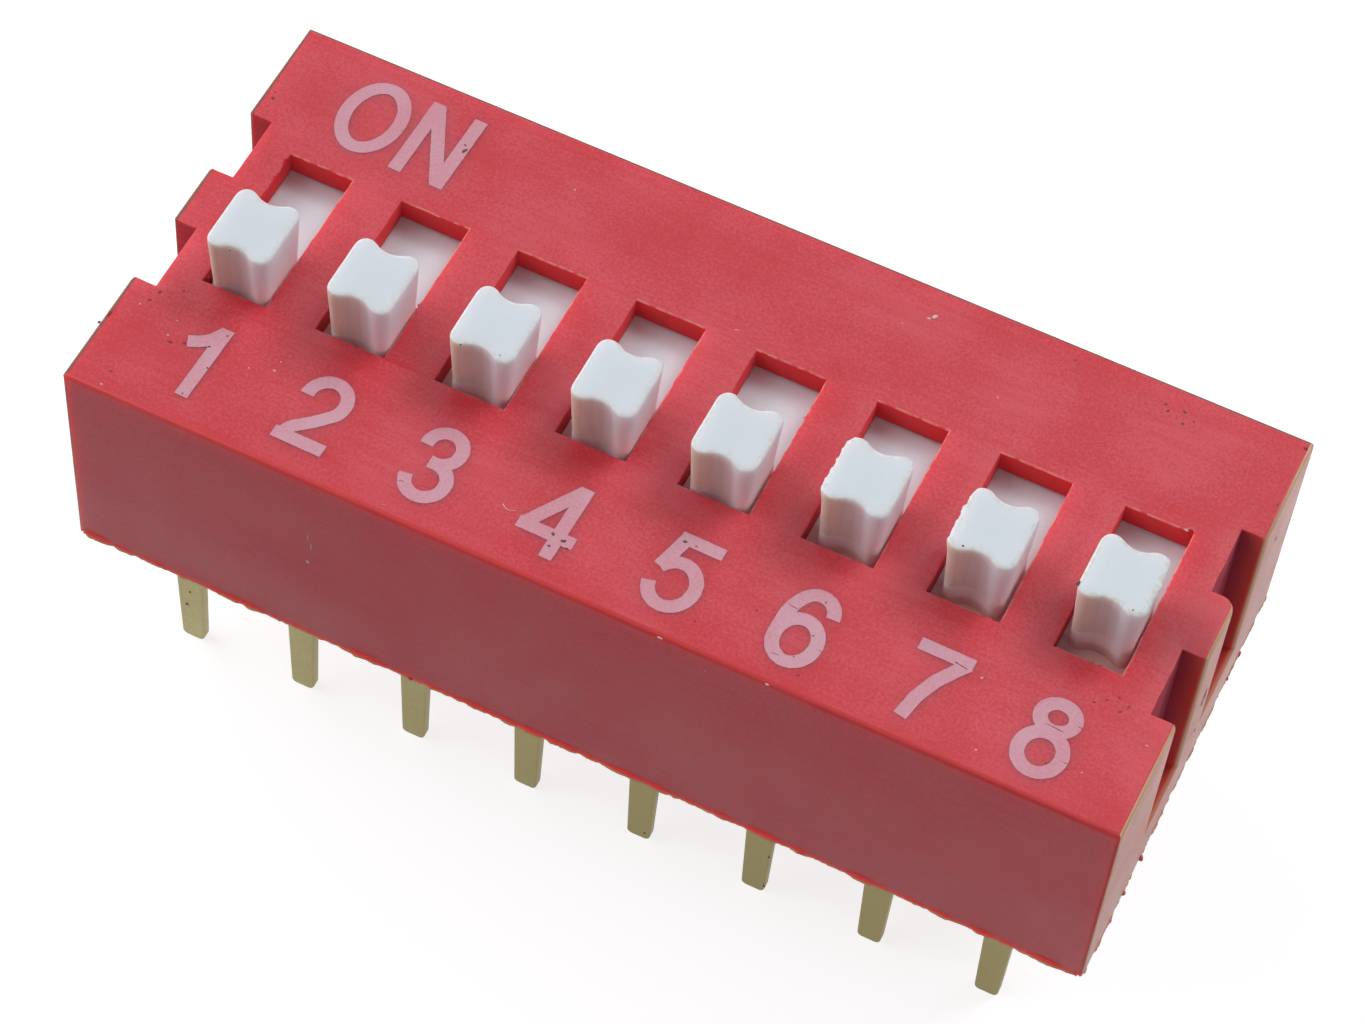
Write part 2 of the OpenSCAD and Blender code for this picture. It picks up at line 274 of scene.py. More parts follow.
# %% Effect: scattered specks
speck_group, inside, outside = new_group(
    "scattered specks",
    {"Position": ("Vector", None), "Cells per metre": ("Float", 1500.0),
     "Share": ("Float", 0.1), "Size": ("Float", 0.12)},
    {"Mask": "Float"})
cells = add_node(speck_group, "ShaderNodeTexVoronoi",
                 {"Vector": inside.outputs[0], "Scale": inside.outputs[1]})
pick = add_node(speck_group, "ShaderNodeSeparateColor", {0: cells.outputs["Color"]})
chosen = calc(speck_group, "LESS_THAN", pick.outputs[0], inside.outputs[2])
reach = calc(speck_group, "MULTIPLY", pick.outputs[1], inside.outputs[3])
near = calc(speck_group, "LESS_THAN", cells.outputs["Distance"], reach)
speck_group.links.new(calc(speck_group, "MULTIPLY", chosen, near), outside.inputs["Mask"])
print("effects:", [group.name for group in bpy.data.node_groups])

# %% [markdown]
# ## Finishes
# Each finish is one Principled shader. Its constants, such as the specular level and how far
# light travels under the surface, are set on the shader's own sockets. Only what varies over
# the surface is wired in: colour, roughness and the normal.

# %% Start a finish
ZONES = ("rim", "grime", "skin", "lip", "wall", "end", "notch", "worn")
BUMP_DISTANCE = 0.01 * MM


def new_finish(name, **constants):
    """A material with one Principled shader, its tree and its object coordinates."""
    material = bpy.data.materials.new(name)
    material.use_nodes = True
    tree = material.node_tree
    tree.nodes.clear()
    shader = add_node(tree, "ShaderNodeBsdfPrincipled")
    for socket, value in constants.items():
        shader.inputs[socket.replace("_", " ")].default_value = value
    add_node(tree, "ShaderNodeOutputMaterial", {"Surface": shader.outputs[0]})
    position = add_node(tree, "ShaderNodeTexCoord").outputs["Object"]
    return material, tree, shader, position


def set_surface(tree, shader, colour, roughness, height, depth):
    """Wires a colour, a roughness and a bump height into the shader."""
    bump = add_node(tree, "ShaderNodeBump",
                    {"Height": height, "Strength": depth, "Distance": BUMP_DISTANCE})
    for socket, value in (("Base Color", colour), ("Roughness", roughness),
                          ("Normal", bump.outputs[0])):
        if isinstance(value, bpy.types.NodeSocket):
            tree.links.new(value, shader.inputs[socket])
        else:
            shader.inputs[socket].default_value = value


def zone(tree, name):
    """A mask that was painted on the faces of a piece."""
    return add_node(tree, "ShaderNodeAttribute", attribute_name=name).outputs["Fac"]


def tint(tree, colour, mask, amount, towards):
    """The colour moved towards another one, by an amount, where the mask is 1."""
    return mix_colours(tree, calc(tree, "MULTIPLY", mask, amount), colour, towards)


def layered(tree, colour, layers):
    """The colour under layers of tint. Each layer is a mask, an amount and its colour."""
    for mask, amount, towards in layers:
        colour = tint(tree, colour, mask, amount, towards)
    return colour

# %% [markdown]
# The cover and the base are a red filled plastic. Light goes a little way into it, which
# makes edges and thin walls glow in a purer red, and this is what subsurface scattering is
# for. The faces carry painted zones, and several of them hold painted light: `rim` for rounded
# outer edges, which get a purer red as a painted glow, `grime` for those at the left and
# behind that have collected dirt, `skin` for the front and rear walls, which are thin and get
# a painted glow along their lower edge, with a faint emission there, and at the left end,
# `lip` for the rims of the windows, which get a pale painted highlight, fullest at the rear
# and right, `wall` for the deep red inside them, darker towards the front as a painted shadow
# of the knob, `end` for the ends, which are scuffed and painted paler as a painted reflection,
# `notch` for the notches' walls, darker towards their inner corner as painted shade, and
# `worn` for upright edges that are rubbed to tan. The tints lie over each other like coats of
# paint, so their order matters: a later one covers the ones before it.

# %% Finish: red plastic
RED = (0.69, 0.030, 0.050, 1)
RED_PALE = (0.77, 0.086, 0.118, 1)
# deeper red for the drawn streaks, and a painted glow on the rounded outer edges
RED_STREAK_AND_EDGE_GLOW = (0.70, 0.016, 0.020, 1)
RED_WALL = (0.71, 0.034, 0.044, 1)
# painted shadow of the knob on the front part of the window walls
RED_KNOB_SHADOW = (0.34, 0.022, 0.034, 1)
# pale painted highlight along the rims of the windows
RED_LIP_HIGHLIGHT = (0.85, 0.38, 0.30, 1)
# painted shade deep in the notches
RED_NOTCH_PAINTED_SHADE = (0.42, 0.030, 0.060, 1)
RED_NOTCH = (0.66, 0.070, 0.060, 1)
EDGE_GRIME = (0.16, 0.07, 0.04, 1)
# painted glow of the thin walls along their lower edge and at the left end
SKIRT_PAINTED_GLOW = (0.90, 0.05, 0.03, 1)
SKIRT_GLOW = (1.0, 0.02, 0.02, 1)
# scuffed ends, painted paler as well for their reflection at a grazing angle
END_SCUFF_AND_SHEEN = (0.70, 0.19, 0.12, 1)
WORN_TAN = (0.76, 0.52, 0.32, 1)
DUST = (0.85, 0.55, 0.50, 1)
BLACK = (0, 0, 0, 1)
# bands in millimetres: where each effect starts and where it ends
SKIRT_BAND = (0.03, 0.15)
LEFT_BAND = (-END_X, 0.3 - END_X)
LEFT_DIRT = (0.02 - END_X, 0.07 - END_X)
KNOB_SHADOW_BAND = (-1.3, -0.5)
SCUFF_BAND = (TOP_Z - 0.16, TOP_Z - 0.03)
NOTCH_BAND = (END_X - 0.48, END_X - 0.1)
NOTCH_RIM = (END_X - 0.12, END_X - 0.01)


def red_plastic(name):
    """The moulded red, with the wear, painted glow, painted highlight and painted shade that its zones
    ask for.
    """
    material, tree, shader, position = new_finish(
        name, Specular_IOR_Level=0.5, Subsurface_Weight=1.0, Subsurface_Scale=0.45 * MM,
        Subsurface_Radius=(1.0, 0.1, 0.1), Emission_Strength=0.22)
    grain = use_group(tree, grain_group, Position=position, Grains_per_metre=16000.0)
    streaks = use_group(tree, streak_group, Position=position)
    dust = use_group(tree, speck_group, Position=position, Cells_per_metre=2600.0,
                     Share=0.05, Size=0.13)
    x, y, z = add_node(tree, "ShaderNodeSeparateXYZ", {0: position}).outputs
    rim, grime, skin, lip, wall, end, notch, worn = [zone(tree, title) for title in ZONES]

    # painted glow: the thin walls turn a purer red near their lower edge and at the left end
    low = falling(tree, z, *SKIRT_BAND)
    left = falling(tree, x, *LEFT_BAND, strength=0.7)
    painted_glow = calc(tree, "MULTIPLY", calc(tree, "MAXIMUM", low, left), skin)
    left_edge = calc(tree, "MULTIPLY", falling(tree, x, *LEFT_DIRT), skin)
    dirty = calc(tree, "MAXIMUM", left_edge, grime)
    # painted shadow: the window walls darken towards the front, where the knob stands
    knob_shadow = calc(tree, "MULTIPLY", falling(tree, y, *KNOB_SHADOW_BAND), wall)
    patchy = ramp(tree, noise_value(tree, position, 5000.0), 0.38, 0.56)
    top_edge = calc(tree, "MULTIPLY", rising(tree, z, *SCUFF_BAND), end)
    # notch walls: painted shade that lightens outwards, with tan wear at the outer rim
    notch_shade_and_wear = mix_colours(tree, rising(tree, x, *NOTCH_BAND), RED_NOTCH_PAINTED_SHADE, RED_NOTCH)
    notch_shade_and_wear = tint(tree, notch_shade_and_wear, rising(tree, x, *NOTCH_RIM), 0.7, WORN_TAN)
    colour = layered(tree, mix_colours(tree, grain.outputs["Tone"], RED, RED_PALE), [
        (streaks.outputs[0], 0.25, RED_STREAK_AND_EDGE_GLOW), (dust.outputs[0], 0.5, DUST),
        (rim, 0.9, RED_STREAK_AND_EDGE_GLOW), (painted_glow, 0.9, SKIRT_PAINTED_GLOW), (dirty, 0.85, EDGE_GRIME),
        (wall, 1.0, RED_WALL), (knob_shadow, 0.7, RED_KNOB_SHADOW),
        (calc(tree, "MULTIPLY", lip, patchy), 0.9, RED_LIP_HIGHLIGHT),
        (end, 0.8, END_SCUFF_AND_SHEEN), (top_edge, 0.8, WORN_TAN),
        (notch, 1.0, notch_shade_and_wear), (worn, 1.0, WORN_TAN)])
    glow = mix_colours(tree, calc(tree, "MULTIPLY", low, skin), BLACK, SKIRT_GLOW)
    tree.links.new(glow, shader.inputs["Emission Color"])

    roughness = calc(tree, "ADD", calc(tree, "MULTIPLY", grain.outputs["Tone"], 0.12), 0.42)
    roughness = calc(tree, "SUBTRACT", roughness, calc(tree, "MULTIPLY", end, 0.10))
    rough_walls = calc(tree, "MULTIPLY", calc(tree, "MAXIMUM", wall, notch), 0.45)
    roughness = calc(tree, "ADD", roughness, rough_walls)
    set_surface(tree, shader, colour, roughness, grain.outputs["Height"], 0.25)
    return material


cover_red = red_plastic("cover_red")
base_red = red_plastic("base_red")
print("red plastic:", len(cover_red.node_tree.nodes), "nodes")

# %% [markdown]
# Moulding flash lets light through, so it looks orange, and a faint emission stands for that
# light. The smooth red bead along the front wall's lower edge is a painted glow, and its faint
# emission stands for light too. Grime, pale nicks and specks are small crumbs of their own,
# and each of them needs only a dull finish of two colours.

# %% Finish: flash, grime and nicks
def plain_finish(name, first, second, roughness, grains=20000.0, **constants):
    """A finish that wanders between two colours."""
    material, tree, shader, position = new_finish(name, **constants)
    grain = use_group(tree, grain_group, Position=position, Grains_per_metre=grains)
    colour = mix_colours(tree, grain.outputs["Tone"], first, second)
    set_surface(tree, shader, colour, roughness, grain.outputs["Height"], 0.3)
    return material


skirt_glow_red = plain_finish("skirt_glow_red", (0.74, 0.035, 0.03, 1), (0.76, 0.06, 0.04, 1), 0.5,
                         Emission_Color=(0.9, 0.02, 0.02, 1), Emission_Strength=0.16)
flash_tan = plain_finish("flash_tan", (0.66, 0.22, 0.10, 1), (0.60, 0.32, 0.18, 1), 0.6,
                         Emission_Color=(0.9, 0.30, 0.12, 1), Emission_Strength=0.06)
grime_brown = plain_finish("grime_brown", (0.36, 0.06, 0.05, 1), (0.27, 0.07, 0.05, 1), 0.8)
grime_grey = plain_finish("grime_grey", (0.10, 0.05, 0.04, 1), (0.20, 0.09, 0.07, 1), 0.8)
nick_pale = plain_finish("nick_pale", (0.84, 0.50, 0.48, 1), (0.80, 0.66, 0.62, 1), 0.7)
print("crumbs and flash: 5 finishes")

# %% [markdown]
# The sliders are a white plastic that light enters easily, so their shaded sides are soft
# and pick up red from the cover. The trimmed edges of the knobs have yellowed a little, some
# more than others, and the `rim` zone holds how much. On a slider, `skin` marks the knob's
# front, which gets a warm painted shade, fullest at its left. Near the cover's top the knob is
# painted pinker, as a painted red bounce and shade, and the shelf in front of the knob is
# painted brown as painted shade. The part that sits down in the window is lit through the
# thin red walls, and a very faint pink emission stands for that.

# %% Finish: white slider plastic
WHITE = (0.80, 0.86, 0.91, 1)
WHITE_WARM = (0.80, 0.84, 0.87, 1)
WHITE_AGED = (0.66, 0.64, 0.50, 1)
# painted red bounce and shade near the knob's foot
FOOT_RED_BOUNCE = (0.97, 0.78, 0.78, 1)
# warm painted shade on the knob's front
FACE_PAINTED_SHADE = (0.70, 0.63, 0.52, 1)
# painted shade on the shelf in front of the knob
SHELF_PAINTED_SHADE = (0.72, 0.40, 0.34, 1)
FOOT_GLOW = (1.0, 0.45, 0.50, 1)
# bands in millimetres, as for the red plastic
FOOT_BAND = (TOP_Z, TOP_Z + 0.6)
DEEP_BAND = (TOP_Z - 0.5, TOP_Z - 0.3)
FRONT_BAND = (-1.05, -0.9)
SHELF_BAND = (TOP_Z - 0.45, TOP_Z - 0.25)
SUNK_BAND = (TOP_Z - 0.1, TOP_Z + 0.3)

slider_white, tree, shader, position = new_finish(
    "slider_white", Specular_IOR_Level=0.5, Subsurface_Weight=1.0, Subsurface_Scale=0.35 * MM,
    Subsurface_Radius=(1.0, 0.8, 0.8), Emission_Strength=0.04)
grain = use_group(tree, grain_group, Position=position, Grains_per_metre=9000.0)
patchy = ramp(tree, noise_value(tree, position, 9000.0), 0.42, 0.58)
_, y, z = add_node(tree, "ShaderNodeSeparateXYZ", {0: position}).outputs
# painted red bounce and shade on the knob near the cover's top
foot = calc(tree, "MULTIPLY", falling(tree, z, *FOOT_BAND), rising(tree, z, *DEEP_BAND))
# painted shade: the shelf in front of the knob is tinted brown
front_shelf_shade = calc(tree, "MULTIPLY", falling(tree, y, *FRONT_BAND),
                   falling(tree, z, *SHELF_BAND))
colour = layered(tree, mix_colours(tree, grain.outputs["Tone"], WHITE, WHITE_WARM), [
    (calc(tree, "MULTIPLY", zone(tree, "rim"), patchy), 0.9, WHITE_AGED),
    (foot, 0.8, FOOT_RED_BOUNCE), (zone(tree, "skin"), 0.9, FACE_PAINTED_SHADE),
    (front_shelf_shade, 0.9, SHELF_PAINTED_SHADE)])
sunk = falling(tree, z, *SUNK_BAND)
tree.links.new(mix_colours(tree, sunk, BLACK, FOOT_GLOW), shader.inputs["Emission Color"])
set_surface(tree, shader, colour, 0.45, grain.outputs["Height"], 0.2)
print("slider plastic:", len(tree.nodes), "nodes")

# %% [markdown]
# The pins are copper alloy with a thin matte gold plate that has gone a little olive, and its
# colour is darker towards the right of the row. The contacts inside are spring bronze, the
# seal under the base is brown resin, and the printed marks are a soft white ink that the red
# plastic stains pink.

# %% Finish: gold plate, bronze, resin and ink
GOLD = (0.47, 0.41, 0.20, 1)
GOLD_WORN = (0.36, 0.31, 0.15, 1)
GOLD_DIM = (0.29, 0.24, 0.095, 1)
DIM_BAND = (-9, 2)
gold_plate, tree, shader, position = new_finish("gold_plate", Metallic=0.8)
grain = use_group(tree, grain_group, Position=position, Grains_per_metre=12000.0)
colour = mix_colours(tree, calc(tree, "MULTIPLY", grain.outputs["Tone"], 0.6), GOLD, GOLD_WORN)
x = add_node(tree, "ShaderNodeSeparateXYZ", {0: position}).outputs["X"]
colour = tint(tree, colour, rising(tree, x, *DIM_BAND), 0.8, GOLD_DIM)
set_surface(tree, shader, colour, 0.48, grain.outputs["Height"], 0.15)
seal_resin = plain_finish("seal_resin", (0.26, 0.10, 0.045, 1), (0.36, 0.17, 0.08, 1), 0.25,
                          grains=1500.0, Coat_Weight=0.4)
mark_ink = plain_finish("mark_ink", (0.71, 0.38, 0.45, 1), (0.71, 0.285, 0.345, 1), 0.55,
                        grains=18000.0)

spring_bronze, tree, shader, position = new_finish("spring_bronze", Metallic=1.0)
streaks = use_group(tree, streak_group, Position=position, Stretch=(9000.0, 500.0, 500.0))
colour = mix_colours(tree, streaks.outputs[0], (0.62, 0.38, 0.19, 1), (0.45, 0.26, 0.12, 1))
set_surface(tree, shader, colour, 0.3, streaks.outputs[0], 0.2)
print("finishes:", [m.name for m in bpy.data.materials])

# %% [markdown]
# ## Finished copies of the solids
# A moulded part never has a perfectly sharp edge. The CAD solids arrive as loose triangles,
# so a copy is welded first, its flat faces are merged, and its sharp edges are bevelled.
# A zone is a number stored on each face. `paint` writes it where a test passes, and the
# finishes read it back by its name.

# %% Helpers for pieces
WELD = 0.0001
# angles in degrees: faces that turn less are merged, edges that turn more are bevelled, and
# edges that still turn more after that are shaded sharp
FLAT_TURN = 0.5
SHARP_TURN = 30
CREASE_TURN = 40


def keep_piece(mesh, name, body):
    """Puts a mesh in the scene as a piece that rides on a body."""
    piece = bpy.data.objects.new(name, mesh)
    bpy.context.scene.collection.objects.link(piece)
    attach(piece, body)
    return piece


def piece_from(bm, name, material, body):
    """Makes a bmesh into a piece."""
    mesh = bpy.data.meshes.new(name)
    bm.to_mesh(mesh)
    bm.free()
    mesh.materials.append(material)
    return keep_piece(mesh, name, body)


def welded(node):
    """A copy of a CAD node with its triangles joined, its flat faces merged, and empty zones."""
    bm = bmesh.new()
    bm.from_mesh(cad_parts[node].data)
    for zone_name in ZONES:
        bm.faces.layers.float.new(zone_name)
    bmesh.ops.remove_doubles(bm, verts=bm.verts, dist=WELD * MM)
    bmesh.ops.dissolve_limit(bm, angle_limit=radians(FLAT_TURN), verts=bm.verts, edges=bm.edges)
    return bm


def sharp_edges(bm, where=lambda middle: True):
    """Edges with a sharp turn, whose middle, in millimetres, passes the test."""
    return [e for e in bm.edges
            if e.is_manifold and e.calc_face_angle() > radians(SHARP_TURN)
            and where((e.verts[0].co + e.verts[1].co) / (2 * MM))]


def soften(bm, edges, width, steps=3, clamp=True):
    """Bevels edges and returns the new faces. Clamping stops at the shortest edge beside them."""
    made = bmesh.ops.bevel(bm, geom=edges, offset=width * MM, offset_type="OFFSET",
                           segments=steps, profile=0.5, affect="EDGES", clamp_overlap=clamp)
    bm.normal_update()
    return made["faces"]


def paint(bm, zone_name, value, test, faces=None):
    """Writes a zone's value on faces whose middle, in millimetres, and normal pass the test."""
    layer = bm.faces.layers.float[zone_name]
    for face in faces or bm.faces:
        if test(face.calc_center_median() / MM, face.normal):
            face[layer] = value


def is_rounded(normal, limit=0.97):
    """True where a face looks along none of the three axes."""
    return max(abs(normal.x), abs(normal.y), abs(normal.z)) < limit


def smooth_rounds(piece):
    """Smooth shading on the rounds alone, for a piece whose large faces are truly flat."""
    for face in piece.data.polygons:
        face.use_smooth = is_rounded(face.normal, limit=0.9995)
    piece.data.set_sharp_from_angle(angle=radians(CREASE_TURN))


def smooth_finish(piece, angle=CREASE_TURN):
    """Smooth shading that keeps flat faces flat."""
    piece.data.shade_smooth()
    piece.data.set_sharp_from_angle(angle=radians(angle))
    weighted = piece.modifiers.new("weighted normals", "WEIGHTED_NORMAL")
    weighted.keep_sharp = True

# %% [markdown]
# ## The cover
# The cover's windows and notches were cut by the mould's inserts, whose edges wear, so their
# rims wander by a hundredth of a millimetre and are nicked in a few places. The long rims are
# subdivided finely, moved by a smooth noise, pushed aside at each nick, and then bevelled.
# Only edges of the rims are subdivided: a loose point inside the flat top would crease it.
# The top is split into triangles first, so that the bevel can't fold its one large face, and
# it is pressed flat afterwards. The lower edge is rounder. Last, the zones are painted.

# %% Wander and nick the rims
bm = welded("cover")
RIM_STEP = 0.06
CORNER_GAP = 0.012
WANDER = 0.010
WAVES = 3.1
# each nick: its middle, how far it pushes the rim, and its reach
NICKS = [((9.43, 1.815), (0.0, 0.13), 0.13), ((9.25, 1.815), (0.0, 0.02), 0.10),
         ((-9.555, 1.62), (-0.035, 0.0), 0.16), ((-9.555, 1.30), (0.03, 0.0), 0.12),
         ((-6.20, 1.815), (0.0, 0.03), 0.08), ((4.20, -1.675), (0.0, -0.03), 0.10),
         ((6.85, -1.675), (0.0, -0.035), 0.12), ((9.0, -1.675), (0.0, -0.03), 0.10),
         ((1.98, 0.70), (0.03, 0.0), 0.10), ((-5.60, -0.35), (0.025, 0.0), 0.10)]


def on_top(middle):
    """True on the rims of the top."""
    return middle.z > TOP_Z - 0.01


def points_of(edges):
    """Each point of the edges once, in an order that is the same in every run."""
    return list(dict.fromkeys(v for e in edges for v in e.verts))


corner_points = points_of(sharp_edges(bm, where=on_top))
bmesh.ops.remove_doubles(bm, verts=corner_points, dist=CORNER_GAP * MM)
long_rims = [e for e in sharp_edges(bm, where=on_top) if e.calc_length() > RIM_STEP * MM]
for e in long_rims:
    bmesh.ops.subdivide_edges(bm, edges=[e], cuts=int(e.calc_length() / (RIM_STEP * MM)))
rim_points = points_of(sharp_edges(bm, where=on_top))
for v in rim_points:
    at = Vector((v.co.x, v.co.y, 0)) / MM
    v.co.x += noise.noise(at * WAVES) * WANDER * MM
    v.co.y += noise.noise(at * WAVES + Vector((9, 4, 2))) * WANDER * MM
    for middle, push, reach in NICKS:
        near = max(0.0, 1 - (at.xy - Vector(middle)).length / reach)
        v.co.x += push[0] * near * MM
        v.co.y += push[1] * near * MM
print("rim points:", len(rim_points), " nicks:", len(NICKS))

# %% Soften the cover's edges
RIM_ROUND = 0.028
NOTCH_ROUND = 0.04
LOWER_ROUND = 0.07
NOTCH_X = END_X - 0.55


def on_lower_edge(middle):
    """True along the outer edge that rests on the board."""
    outside = abs(middle.x) > END_X - 0.01 or abs(middle.y) > SIDE_Y - 0.01
    return outside and middle.z < 0.01


def on_notch(middle):
    """True on the upright edges of the notches at both ends."""
    return abs(middle.x) > NOTCH_X and 0.1 < middle.z < TOP_Z - 0.1


top_faces = [f for f in bm.faces if f.normal.z > 0.99 and on_top(f.calc_center_median() / MM)]
bmesh.ops.triangulate(bm, faces=top_faces)
top_rims = soften(bm, sharp_edges(bm, where=on_top), RIM_ROUND, clamp=False)
for face in bm.faces:
    if face.normal.z > 0.99 and face.calc_center_median().z > (TOP_Z - RIM_ROUND) * MM:
        for v in face.verts:
            v.co.z = TOP_Z * MM
bm.normal_update()
# the lip zone is a pale painted highlight on the window rims: fuller on the rear and right ones,
# fainter on the front ones
lips = [face for face in top_rims if abs(face.calc_center_median().x) < NOTCH_X * MM]
paint(bm, "lip", 0.7, lambda m, n: n.x < -0.2 or n.y < -0.2, lips)
paint(bm, "lip", 0.4, lambda m, n: n.y > 0.2, lips)
soften(bm, sharp_edges(bm, where=on_notch), NOTCH_ROUND, steps=2)
soften(bm, sharp_edges(bm, where=on_lower_edge), LOWER_ROUND, steps=4, clamp=False)
print("open edges:", sum(e.is_boundary for e in bm.edges), " volume:",
      round(bm.calc_volume() / MM ** 3, 1), "cubic mm")

# %% Paint the cover's zones
ROUND_BAND = 0.13
NOTCHES_Y = 2.5
WINDOWS_Y = 2.0


def in_notch(middle, normal):
    """True on the walls and floors of the notches."""
    inside = NOTCH_X < abs(middle.x) < END_X - 0.01 and abs(middle.y) < NOTCHES_Y
    return inside and not (middle.z > TOP_Z - 0.05 and normal.z > 0.5)


def on_outer_band(middle, normal):
    """True on the rounds of the outer edges."""
    near_end = abs(middle.x) > END_X - ROUND_BAND
    return is_rounded(normal) and (near_end or abs(middle.y) > SIDE_Y - ROUND_BAND)


def on_rubbed_corner(middle, normal):
    """True on the rounds at the right end, which are rubbed most."""
    outer = is_rounded(normal) and normal.x > abs(normal.y) and normal.x > 0.5 * normal.z
    return outer and middle.x > END_X - ROUND_BAND and 0.2 < middle.z and middle.y < SIDE_Y - 0.08


def on_notch_edge(middle, normal):
    """True on the upright edges of the right end's notches."""
    outside = middle.x > END_X - 0.05 and abs(middle.y) < NOTCHES_Y
    return outside and is_rounded(normal) and abs(normal.z) < 0.5


def in_window(middle, normal):
    """True on the walls of the eight windows."""
    below = middle.z < TOP_Z - 0.04 and abs(normal.z) < 0.7
    return below and abs(middle.x) < END_X - 0.6 and abs(middle.y) < WINDOWS_Y


paint(bm, "rim", 1.0, on_outer_band)
paint(bm, "grime", 1.0, lambda m, n: on_outer_band(m, n) and (n.x < -0.08 or n.y > 0.08))
paint(bm, "skin", 1.0, lambda m, n: n.y < -0.3 and m.y < 0.1 - SIDE_Y)
paint(bm, "skin", 1.0, lambda m, n: n.y > 0.3 and m.y > SIDE_Y - 0.1)
# the ends are scuffed and painted paler as a painted reflection, fully at the right end and faintly at
# the left
paint(bm, "end", 1.0, lambda m, n: n.x > 0.9 and m.x > END_X - 0.02)
paint(bm, "end", 0.3, lambda m, n: n.x < -0.9 and m.x < 0.02 - END_X)
paint(bm, "wall", 1.0, in_window)
# the notch walls get painted shade, fully at the right end and weaker at the left
paint(bm, "notch", 1.0, lambda m, n: in_notch(m, n) and m.x > 0)
paint(bm, "notch", 0.4, lambda m, n: in_notch(m, n) and m.x < 0)
paint(bm, "worn", 1.0, lambda m, n: on_rubbed_corner(m, n) or on_notch_edge(m, n))
cover = piece_from(bm, "cover_finished", cover_red, HOUSING)
smooth_rounds(cover)
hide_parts("cover")
print("cover:", len(cover.data.polygons), "faces")

# %% [markdown]
# ## The sliders
# Each knob was trimmed from a sheet of its neighbours, so its sides are smooth, its top edge is
# rolled over, and some edges carry a fine burr. The holder and the shelf below stay as the CAD
# made them. The knob above the shelf is cut away and lofted again: its outline is read from
# the solid, spaced evenly, and stacked in rings up to the lid, which closes in a fan.

# %% Outline helpers
RING_POINTS = 112
RELAX_PASSES = 2


def evenly_spaced(outline, count):
    """Points at equal steps along a closed outline."""
    sides = [(outline[k - 1], outline[k]) for k in range(len(outline))]
    lengths = [(b - a).length for a, b in sides]
    step = sum(lengths) / count
    spaced = []
    side = 0
    walked = 0.0
    for j in range(count):
        while walked + lengths[side] < j * step:
            walked += lengths[side]
            side += 1
        a, b = sides[side]
        spaced.append(a.lerp(b, (j * step - walked) / lengths[side]))
    return spaced


def relaxed(outline):
    """Each point moved towards the middle of its neighbours, which rounds the facets off."""
    for _ in range(RELAX_PASSES):
        outline = [(outline[k - 1] + outline[k] * 2 + outline[(k + 1) % len(outline)]) / 4
                   for k in range(len(outline))]
    return outline


def outward(outline):
    """The outward direction at each point of an anticlockwise outline."""
    directions = []
    for k in range(len(outline)):
        along = (outline[(k + 1) % len(outline)] - outline[k - 1]).normalized()
        directions.append(Vector((along.y, -along.x)))
    return directions

# %% Knob measures
KNOB_TOP_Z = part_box("slider_1")[1].z / MM
FLARE = 0.065
FLARE_STEPS = 4
CROWN = 0.055
CROWN_STEPS = 5
LID_INSETS = (0.03, 0.07, 0.12)
LID_SHARES = (0.7, 0.4, 0.15)
# how far each knob's crown has yellowed, and the side and size of its burr
YELLOWED = [0.25, 0.25, 0.25, 0.3, 0.4, 0.4, 0.45, 0.6]
BURRS = {4: ((0.7, 0.7), 0.03), 5: ((0.5, 0.8), 0.03), 6: ((-1.0, 0.0), 0.04),
         7: ((-1.0, 0.0), 0.045), 8: ((1.0, 0.0), 0.045)}


def knob_rings(shelf_z):
    """The rings of a knob, as outset and height, from its foot to the middle of its lid."""
    rings = [(0.02, shelf_z + 0.005), (0.005, shelf_z + 0.02), (0.0, shelf_z + 0.05)]
    for k in range(FLARE_STEPS + 1):
        climb = (KNOB_TOP_Z - CROWN - TOP_Z) * k / FLARE_STEPS
        rings.append((FLARE * k / FLARE_STEPS, TOP_Z + climb))
    for k in range(1, CROWN_STEPS + 1):
        turn = radians(90 * k / CROWN_STEPS)
        rings.append((FLARE - CROWN * (1 - cos(turn)), KNOB_TOP_Z - CROWN * (1 - sin(turn))))
    rings += [(FLARE - CROWN - inset, KNOB_TOP_Z) for inset in LID_INSETS]
    return rings


print("knobs rise to", round(KNOB_TOP_Z, 3), "in", len(knob_rings(0)), "rings")

# %% [markdown]
# Three small helpers come before the loft itself. `burr` says how far the ragged burr stands
# out at a place on the crown, from a noise and from how well that place faces the burr's side.
# `band` closes the gap between two rings with faces, and `cut_knob_away` opens the shelf. Each
# knob reads its own stretch of the noise, so no two of them are alike.

# %% Loft helpers
NOISE_STRIDE = 7.1
HAND_WOBBLE = 0.004


def burr(number, place, direction):
    """How far the burr of a knob stands out at a place of its crown."""
    side, size = BURRS.get(number, ((0.0, 0.0), 0.0))
    facing = max(0.0, direction.dot(Vector(side)))
    rag = max(0.0, 0.35 + noise.noise(place * 9.0) + 0.6 * noise.noise(place * 23.0))
    return size * facing * facing * rag


def band(bm, lower, upper):
    """The faces between two rings of points."""
    count = len(lower)
    return [bm.faces.new((lower[j], lower[(j + 1) % count], upper[(j + 1) % count], upper[j]))
            for j in range(count)]


def cut_knob_away(bm, shelf_z):
    """Deletes all that stands on the shelf, and returns the edges of the hole."""
    doomed = [f for f in bm.faces if min(v.co.z for v in f.verts) > (shelf_z - 0.001) * MM
              and max(v.co.z for v in f.verts) > (shelf_z + 0.2) * MM]
    bmesh.ops.delete(bm, geom=doomed, context="FACES")
    return [e for e in bm.edges if e.is_boundary]

